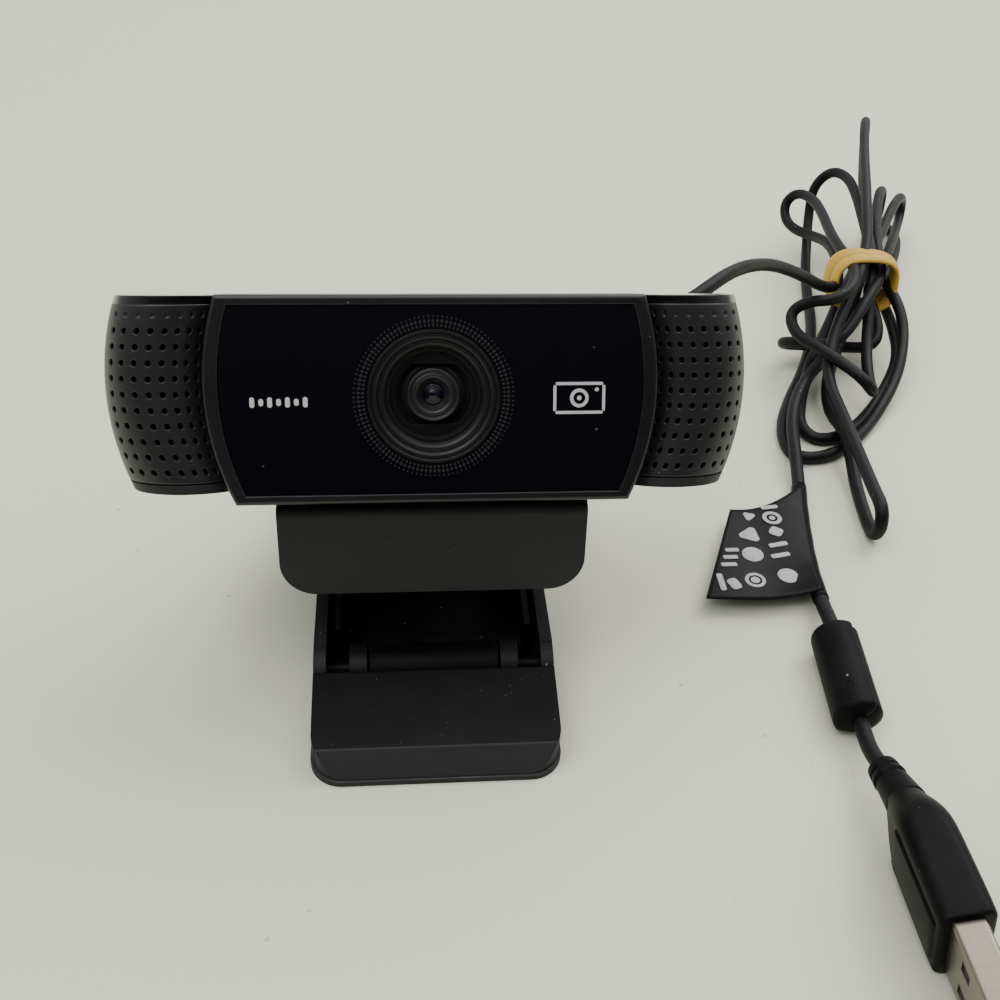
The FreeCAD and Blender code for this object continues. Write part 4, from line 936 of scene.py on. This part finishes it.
def tickTree():  # small dashes set round a circle
    t, into, out = newTree("tickRing", [("Count", "Int"), ("Radius", "Float"), ("Width", "Float"), ("Length", "Float"),
                                        ("Height", "Float"), ("Ink", "Material")])
    g = into.outputs
    circle = addNode(t, "GeometryNodeMeshCircle", {"Vertices": g["Count"], "Radius": g["Radius"]})
    dash = addNode(t, "GeometryNodeMeshCylinder", {"Vertices": 8, "Radius": 0.5, "Depth": g["Height"]})
    stretch = addNode(t, "ShaderNodeCombineXYZ", {0: g["Length"], 1: g["Width"], 2: 1.0})
    shaped = addNode(t, "GeometryNodeTransform", {"Geometry": dash.outputs["Mesh"], "Scale": stretch.outputs[0]})
    spot = addNode(t, "GeometryNodeInputPosition").outputs[0]
    apart = addNode(t, "ShaderNodeSeparateXYZ", {0: spot})
    turn = math2(t, "ARCTAN2", apart.outputs["Y"], apart.outputs["X"])
    spin = addNode(t, "ShaderNodeCombineXYZ", {2: turn})
    placed = addNode(t, "GeometryNodeInstanceOnPoints", {"Points": circle.outputs[0], "Instance": shaped.outputs[0],
                                                         "Rotation": spin.outputs[0]})
    real = addNode(t, "GeometryNodeRealizeInstances", {"Geometry": placed.outputs[0]})
    inked = addNode(t, "GeometryNodeSetMaterial", {"Geometry": real.outputs[0], "Material": g["Ink"]})
    t.links.new(inked.outputs[0], out.inputs[0])
    return t


ringTree = tickTree()
onFace = Matrix.Translation((0, 0.25 * mm, lens["height"] * mm)) @ Matrix.Rotation(math.radians(90), 4, "X")
tickMeshes = []
for radius, width, length in lens["rings"]:
    mesh = grown("ticks", ringTree, {"Count": lens["ticks"], "Radius": radius * mm, "Width": width * mm,
                                     "Length": length * mm, "Height": 0.04 * mm, "Ink": looks["tickInk"]})
    mesh.transform(headFrame @ onFace)
    tickMeshes.append(mesh)
settled(newObject("lensTicks", joinMeshes("lensTicks", tickMeshes)), "head", "tickInk")


def headPiece(name, mesh, body, look, node=None):  # made square to the head, then leant back with it
    mesh.transform(headFrame)
    settled(newObject(name, mesh), body, look, node)


trimProfile = [(9.4, 4.1), (9.4, 0.3), (9.3, 0.2), (9.1, 0.2), (8.92, 0.32), (8.88, 0.56), (8.8, 0.56), (8.72, 0.42),
               (8.0, 1.02), (7.94, 1.24), (7.86, 1.26), (7.78, 1.16), (6.9, 2.2), (6.8, 2.35), (6.8, 4.1)]
headPiece("trimRing", turned("trimRing", trimProfile), "head", "lensRing", "lens_trim_ring")

barrelProfile = [(3.8, 8.4), (3.8, 3.2), (3.72, 3.02), (3.55, 3.0), (3.44, 3.06), (3.4, 3.35), (3.1, 3.38),
                 (3.04, 3.2), (2.92, 3.14), (2.5, 3.16), (2.42, 3.26), (1.62, 4.0), (1.55, 4.2), (1.55, 4.7),
                 (2.45, 4.75), (2.45, 8.4)]
skirtProfile = [(3.8, 5.9), (5.0, 5.9), (5.05, 5.8), (5.0, 5.7), (3.95, 5.66), (3.8, 5.6)]
headPiece("barrel", joinMeshes("barrel", [turned("tube", barrelProfile), turned("skirt", skirtProfile)]),
          "focus", "barrelDark", "lens_barrel")


domes = ((1.56, 4.02, 0.3, 4.62), (1.15, 3.9, 0.24, 4.1), (0.7, 3.78, 0.2, 4.0))  # stepped, one inside the other


def domedGlass(radius, front, bulge, back, steps=12):
    profile = [(radius * i / steps, front + bulge * (i / steps) ** 2) for i in range(steps + 1)]
    return turned("dome", profile + [(radius, back), (0.0, back)])


headPiece("frontGlass", joinMeshes("frontGlass", [domedGlass(*d) for d in domes]), "focus",
          "coatedLens", "front_lens")
print("lens turned")


def slab(outline, push):  # a flat outline given some depth
    work = bmesh.new()
    face = work.faces.new([work.verts.new(Vector(p) * mm) for p in outline])
    pushed = bmesh.ops.extrude_face_region(work, geom=[face])
    for v in pushed["geom"]:
        if isinstance(v, bmesh.types.BMVert):
            v.co += Vector(push) * mm
    bmesh.ops.recalc_face_normals(work, faces=work.faces)
    mesh = bpy.data.meshes.new("mark")
    work.to_mesh(mesh)
    work.free()
    return mesh


def roundOutline(cx, cz, hw, hh, radius):
    return [(cx + x, cz + z) for x, z in roundedRect(hw, hh, radius, 4)]


def hoopOutline(cx, cz, outer, inner, start=0, sweep=360, steps=28):
    a = [math.radians(start + sweep * i / steps) for i in range(steps + 1)]
    return ([(cx + outer * math.cos(k), cz + outer * math.sin(k)) for k in a]
            + [(cx + inner * math.cos(k), cz + inner * math.sin(k)) for k in reversed(a)])


# plain marks printed on the window: a row of short bars on the left, a lens pictogram on the right
printed = [roundOutline(-25.2 + 1.22 * i, -0.1, 0.34, h, 0.3)
           for i, h in enumerate((0.72, 0.5, 0.72, 0.5, 0.72, 0.5, 0.72))]
printed += [roundOutline(20.6, 2.2, 3.4, 0.22, 0.2), roundOutline(20.6, -1.9, 3.4, 0.22, 0.2),
            roundOutline(17.1, 0.15, 0.22, 1.85, 0.2), roundOutline(24.1, 0.15, 0.22, 1.85, 0.2),
            hoopOutline(20.6, 0.15, 1.35, 0.85, 0, 359), roundOutline(20.6, 0.15, 0.34, 0.34, 0.33),
            roundOutline(23.1, 1.35, 0.3, 0.3, 0.29)]
printMesh = joinMeshes("windowPrint", [slab([(x, 0.235, z) for x, z in outline], (0, 0.025, 0))
                                       for outline in printed])
headPiece("windowPrint", printMesh, "head", "printGrey")

glandRibs = {"root": 3.2, "tip": 2.0, "from": 24.0, "to": 30.0, "pitch": 1.2, "groove": 0.55, "bore": 1.32,
             "steps": 48, "place": (31, 0.6)}


def ribbedGland(p):
    profile = [(p["bore"], p["from"]), (p["root"], p["from"])]
    y = p["from"] + 0.5
    while y < p["to"] - 0.4:
        at = p["root"] + (p["tip"] - p["root"]) * (y - p["from"]) / (p["to"] - p["from"])
        profile += [(at, y), (at - p["groove"], y + 0.12), (at - p["groove"], y + 0.42), (at - 0.08, y + 0.55)]
        y += p["pitch"]
    profile += [(p["tip"], p["to"] - 0.15), (p["tip"] - 0.15, p["to"]), (p["bore"], p["to"])]
    return turned("gland", profile, p["steps"], p["place"])


headPiece("leadGland", ribbedGland(glandRibs), "head", "rearShell", "cord_gland")
print("head dressed")

# what lies on the lead


def chokeCover(p):  # two half shells, the lower one set in a little, with a seam on each side
    steps, around = 40, 72
    across = chokeWay.cross(Vector((0, 0, 1))).normalized()
    rings = []
    for k in range(steps + 1):
        s = p["length"] * k / steps
        ring = []
        for i in range(around):
            a = 2 * math.pi * i / around
            facing = math.cos(a - math.radians(p["turn"])) + 0.05
            lower = facing > 0  # the lower left half shell
            nearSeam = abs(facing) < 0.07
            fromEnd = min(s, p["length"] - s)
            r = p["radius"] - (p["step"] if lower else 0)
            if fromEnd < p["edge"]:
                r -= p["edge"] - math.sqrt(max(0.0, p["edge"] ** 2 - (p["edge"] - fromEnd) ** 2))
            if lower and fromEnd < p["inset"]:
                r -= 0.5
            if nearSeam:
                r -= p["seam"]
            spot = chokeBack + chokeWay * s + (across * math.cos(a) + Vector((0, 0, 1)) * math.sin(a)) * r
            ring.append(spot * mm)
        rings.append(ring)
    return ringLoft("chokeCover", rings)


cover = settled(newObject("chokeCover", chokeCover(choke)), "plate", "chokeShell", "ferrite_cover")


def hoopAt(name, centre, axis, radius, thick, steps=32, sides=8):  # a thin closed hoop
    u = axis.orthogonal().normalized()
    w = axis.cross(u)
    rings = []
    for i in range(steps):
        a = 2 * math.pi * i / steps
        out = u * math.cos(a) + w * math.sin(a)
        rings.append([(centre + out * radius + (out * math.cos(b) + axis * math.sin(b)) * thick) * mm
                      for b in (2 * math.pi * j / sides for j in range(sides))])
    return ringLoft(name, rings + [rings[0]], closeEnds=False)


chokeHoop = {"along": 14.6, "lean": 0.45, "lift": 4.17, "radius": 0.85, "thick": 0.09}
hoopTilt = Vector((-math.sin(chokeHoop["lean"]), 0, math.cos(chokeHoop["lean"])))
hoopCentre = chokeBack + chokeWay * chokeHoop["along"] + hoopTilt * chokeHoop["lift"]
sprue = newObject("chokeMark", hoopAt("chokeMark", hoopCentre, hoopTilt, chokeHoop["radius"], chokeHoop["thick"]))
settled(sprue, "plate", "chokeShell")

# the plug
plug = {"lean": -12.0, "bodySections": ((0.2, 2.5, 2.9, 2.3), (-1.2, 2.75, 3.6, 2.6), (-3.0, 3.2, 5.0, 2.9),
                                        (-5.0, 3.6, 6.3, 2.9), (-7.2, 3.85, 7.05, 2.5), (-9.5, 3.9, 7.25, 2.1),
                                        (-16.0, 3.9, 7.25, 1.9), (-21.9, 3.9, 7.25, 1.8), (-22.6, 3.8, 7.15, 1.7),
                                        (-23.0, 3.55, 6.9, 1.5))}
plugFrame = Matrix.Translation(plugBack * mm) @ Matrix.Rotation(math.radians(plug["lean"]), 4, "Y")


def sectionRing(y, halfX, halfZ, corner, per=7):
    return [plugFrame @ (Vector((x, y, z)) * mm) for x, z in roundedRect(halfX, halfZ, corner, per)]


plugBody = newObject("plugBody", ringLoft("plugBody", [sectionRing(*s) for s in plug["bodySections"]]))
soften = plugBody.modifiers.new("soften", "SUBSURF")
soften.levels = soften.render_levels = 2
applied(plugBody)
panels = []
for sideSign in (1, -1):  # a low raised panel down each broad side
    rings = []
    for y, halfZ, lift in ((-6.6, 3.6, -0.3), (-7.4, 4.0, 0.22), (-8.4, 4.3, 0.34), (-21.0, 4.5, 0.34),
                           (-21.9, 4.4, 0.22), (-22.2, 4.2, -0.3)):
        x = sideSign * (3.9 + lift)
        rings.append([plugFrame @ (Vector((a, y, b)) * mm) for a, b in
                      ((x - sideSign * 1.2, halfZ), (x - sideSign * 0.12, halfZ), (x, halfZ - 0.35),
                       (x, -halfZ + 0.35), (x - sideSign * 0.12, -halfZ), (x - sideSign * 1.2, -halfZ))])
    panels.append(ringLoft("panel", rings))
plugBody.data = joinMeshes("plugBody", [plugBody.data] + panels)
plugBody.data.shade_smooth()
settled(plugBody, "plate", "plugShell", "plug_body")


def reliefRadius(travel):  # three collars with thin gaps, then a flare into the body
    s = travel / mm
    base = 2.1 + 0.115 * s
    for start in (1.6, 3.2):
        if start < s < start + 0.55:
            return (base - 0.55) * mm
    if s < 0.3:
        return (base - 0.3 + s) * mm
    return (base + (0.18 if s < 3.2 else 0.0)) * mm


reliefLine = [(reliefTip + reliefWay * (0.14 * i)) * mm for i in range(60)]
relief = newObject("plugRelief", tube("plugRelief", reliefLine, reliefRadius, 36))
settled(relief, "plate", "plugShell", "plug_relief")


def plugShellMesh():  # a folded sheet shell, open at its mouth, with two windows on each broad side
    outer = [(-17.0, 0.0), (-34.5, 0.0), (-34.8, 0.12)]
    inner = [(-34.8, 0.3), (-34.4, 0.36), (-17.0, 0.36)]
    rings = [sectionRing(y, 2.25 - inset, 6.0 - inset, 0.55 - min(inset, 0.3)) for y, inset in outer + inner]
    return ringLoft("plugShell", rings + [rings[0]], closeEnds=False, smooth=False)


shell = newObject("plugShell", plugShellMesh())
cutters = []
for z in (2.9, -2.9):
    corners = [(x, y, zz) for x in (-4, 4) for y in (-29.2, -26.8) for zz in (z - 1.15, z + 1.15)]
    cutters.append(meshFrom("cutter", [plugFrame @ (Vector(c) * mm) for c in corners],
                            [(0, 1, 3, 2), (4, 6, 7, 5), (0, 4, 5, 1), (2, 3, 7, 6), (0, 2, 6, 4), (1, 5, 7, 3)],
                            smooth=False))
cutter = newObject("cutter", tidyMesh(joinMeshes("cutter", cutters)))
windows = shell.modifiers.new("windows", "BOOLEAN")
windows.object = cutter
windows.operation = "DIFFERENCE"
applied(shell)
bpy.data.objects.remove(cutter)
settled(shell, "plate", "plugNickel", "plug_shell")
print("plug and choke shaped")

# the rubber band, wound twice round the bundle
band = {"centre": (105.5, 88.0, 15.8), "half": (7.55, 6.45), "width": 2.0, "thick": 0.75, "steps": 120}


def bandLoop(p, shift, sway, phase, grow):
    cx, cy, cz = p["centre"]
    rings = []
    for i in range(p["steps"]):
        a = 2 * math.pi * i / p["steps"]
        c, s = math.cos(a), math.sin(a)
        squareness = 1.0 / (abs(c) ** 2.6 + abs(s) ** 2.6) ** (1 / 2.6)
        out = Vector((c, 0, s))
        radiusX, radiusZ = p["half"][0] + grow, p["half"][1] + grow
        spot = Vector((cx + c * squareness * radiusX, cy + shift + sway * math.sin(a + phase)
                       + 0.35 * math.sin(3 * a + phase), cz + s * squareness * radiusZ))
        half, thick = p["width"] * (1 + 0.12 * math.sin(2 * a + phase)), p["thick"]
        rings.append([(spot + Vector((0, 1, 0)) * (half * math.cos(b)) + out * (thick * math.sin(b))) * mm
                      for b in (2 * math.pi * j / 14 for j in range(14))])
    return ringLoft("bandLoop", rings + [rings[0]], closeEnds=False)


bandMesh = joinMeshes("rubberBand", [bandLoop(band, -1.7, 1.1, 0.4, 0.0), bandLoop(band, 1.6, -0.9, 1.2, 0.2)])
bandPiece = settled(newObject("rubberBand", bandMesh), "plate", "tanRubber", "rubber_band")

# the film label: a sleeve round the lead and a flag to its left
flag = {"left": ((48.8, -5.5), (59.0, 19.0)), "right": (-5.0, 26.5), "height": 3.25, "sag": 2.3, "belly": 0.9,
        "grid": 28, "sleeve": 1.5, "thick": 0.16}
tailSpots = [p / mm for p in cordLine if p.x > 0.066 and p.x < 0.078 and -0.012 < p.y < 0.034 and p.z < 0.0045]
tailSpots = [p for p in tailSpots if abs(p.x - (70.4 + (p.y - 3) * 0.2)) < 3.5]


def tailAt(y):
    return min(tailSpots, key=lambda p: abs(p.y - y))


def flagSpot(s, t):  # s runs left to right, t from the low edge to the high one
    (x0, y0), (x1, y1) = flag["left"]
    left = Vector((x0 + (x1 - x0) * t, y0 + (y1 - y0) * t, flag["height"]))
    y = flag["right"][0] + (flag["right"][1] - flag["right"][0]) * t
    lead = tailAt(y)
    right = Vector((lead.x + 0.4, y, lead.z + flag["sleeve"] + 0.1))
    spot = left.lerp(right, s)
    dip = 4 * s * (1 - s)
    spot.y += -flag["sag"] * dip * t ** 2 - flag["belly"] * dip * (1 - t) ** 3
    spot.z = flag["height"] * (1 - s ** 4) + right.z * s ** 4 + 0.12 * math.sin(7 * s + 3 * t)
    return spot


def flagSheet(n):
    points = [flagSpot(i / n, j / n) * mm for j in range(n + 1) for i in range(n + 1)]
    faces = [(j * (n + 1) + i, j * (n + 1) + i + 1, (j + 1) * (n + 1) + i + 1, (j + 1) * (n + 1) + i)
             for j in range(n) for i in range(n)]
    return meshFrom("labelFlag", points, faces)


flagPiece = newObject("labelFlag", flagSheet(flag["grid"]))
wall = flagPiece.modifiers.new("wall", "SOLIDIFY")
wall.thickness = flag["thick"] * mm
wall.offset = -1
applied(flagPiece)
sleeveLine = [p * mm for p in tailSpots if -6.5 < p.y < 27.0]
sleeveMesh = tube("sleeve", sleeveLine, lambda travel: (flag["sleeve"] + 0.03 * math.sin(travel * 900)) * mm, 24)
flagPiece.data = joinMeshes("labelFlag", [flagPiece.data, sleeveMesh])
flagPiece.data.shade_smooth()
settled(flagPiece, "plate", "labelFilm", "label_flag")

# plain marks on the flag, each an outline placed by its share of the flag's width and height
marks = [(0.10, 0.16, "bar", 0.55, 2.2, 0), (0.14, 0.34, "bar", 1.5, 0.5, 0), (0.14, 0.42, "bar", 1.4, 0.5, 0),
         (0.14, 0.50, "bar", 1.3, 0.5, 0), (0.22, 0.14, "bar", 1.0, 1.4, 20), (0.41, 0.17, "hoop", 1.9, 1.25, 0),
         (0.41, 0.17, "disc", 0.85, 0, 0), (0.37, 0.43, "disc", 2.0, 0, 0), (0.31, 0.66, "wedge", 2.2, 0, -25),
         (0.25, 0.90, "wedge", 1.3, 0, 160), (0.72, 0.18, "disc", 1.9, 0, 0), (0.66, 0.38, "bar", 1.9, 0.55, 12),
         (0.64, 0.49, "bar", 1.9, 0.55, 12), (0.62, 0.63, "bar", 1.25, 1.25, 57), (0.56, 0.80, "hoop", 1.9, 1.1, 0),
         (0.56, 0.80, "disc", 0.6, 0, 0), (0.50, 0.95, "bar", 1.7, 0.5, 8)]


def markOutline(kind, a, b, turn):  # a and b are half width and half height, or radii
    if kind == "bar":
        spots = roundedRect(a, b, min(a, b) * 0.6, 4)
    elif kind == "disc":
        spots = [(a * math.cos(k * math.pi / 14), a * math.sin(k * math.pi / 14)) for k in range(28)]
    elif kind == "wedge":
        spots = [(a * math.cos(math.radians(90 + 120 * k + d)) * 0.95, a * math.sin(math.radians(90 + 120 * k + d)))
                 for k in range(3) for d in (-14, 0, 14)]
    else:
        spots = hoopOutline(0, 0, a, b, 10, 359)
    c, s = math.cos(math.radians(turn)), math.sin(math.radians(turn))
    return [(x * c - y * s, x * s + y * c) for x, y in spots]


def markMesh(s, t, *shape):
    middle = flagSpot(s, t) - Vector((0, 0, 0.03))
    return slab([middle + Vector((x, y, 0)) for x, y in markOutline(*shape)], (0, 0, 0.16))


markPiece = newObject("labelMarks", joinMeshes("labelMarks", [markMesh(*m) for m in marks]))
soft = markPiece.modifiers.new("soft", "BEVEL")
soft.width = 0.05 * mm
soft.segments = 2
soft.limit_method = "ANGLE"
soft.angle_limit = math.radians(35)
applied(markPiece)
markPiece.data.shade_smooth()
settled(markPiece, "plate", "labelInk")
print("band and label laid")
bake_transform(cordPiece)
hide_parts("lead_cord", "cord_hank", "tail_cord", "plug_cord", "ferrite_cord")
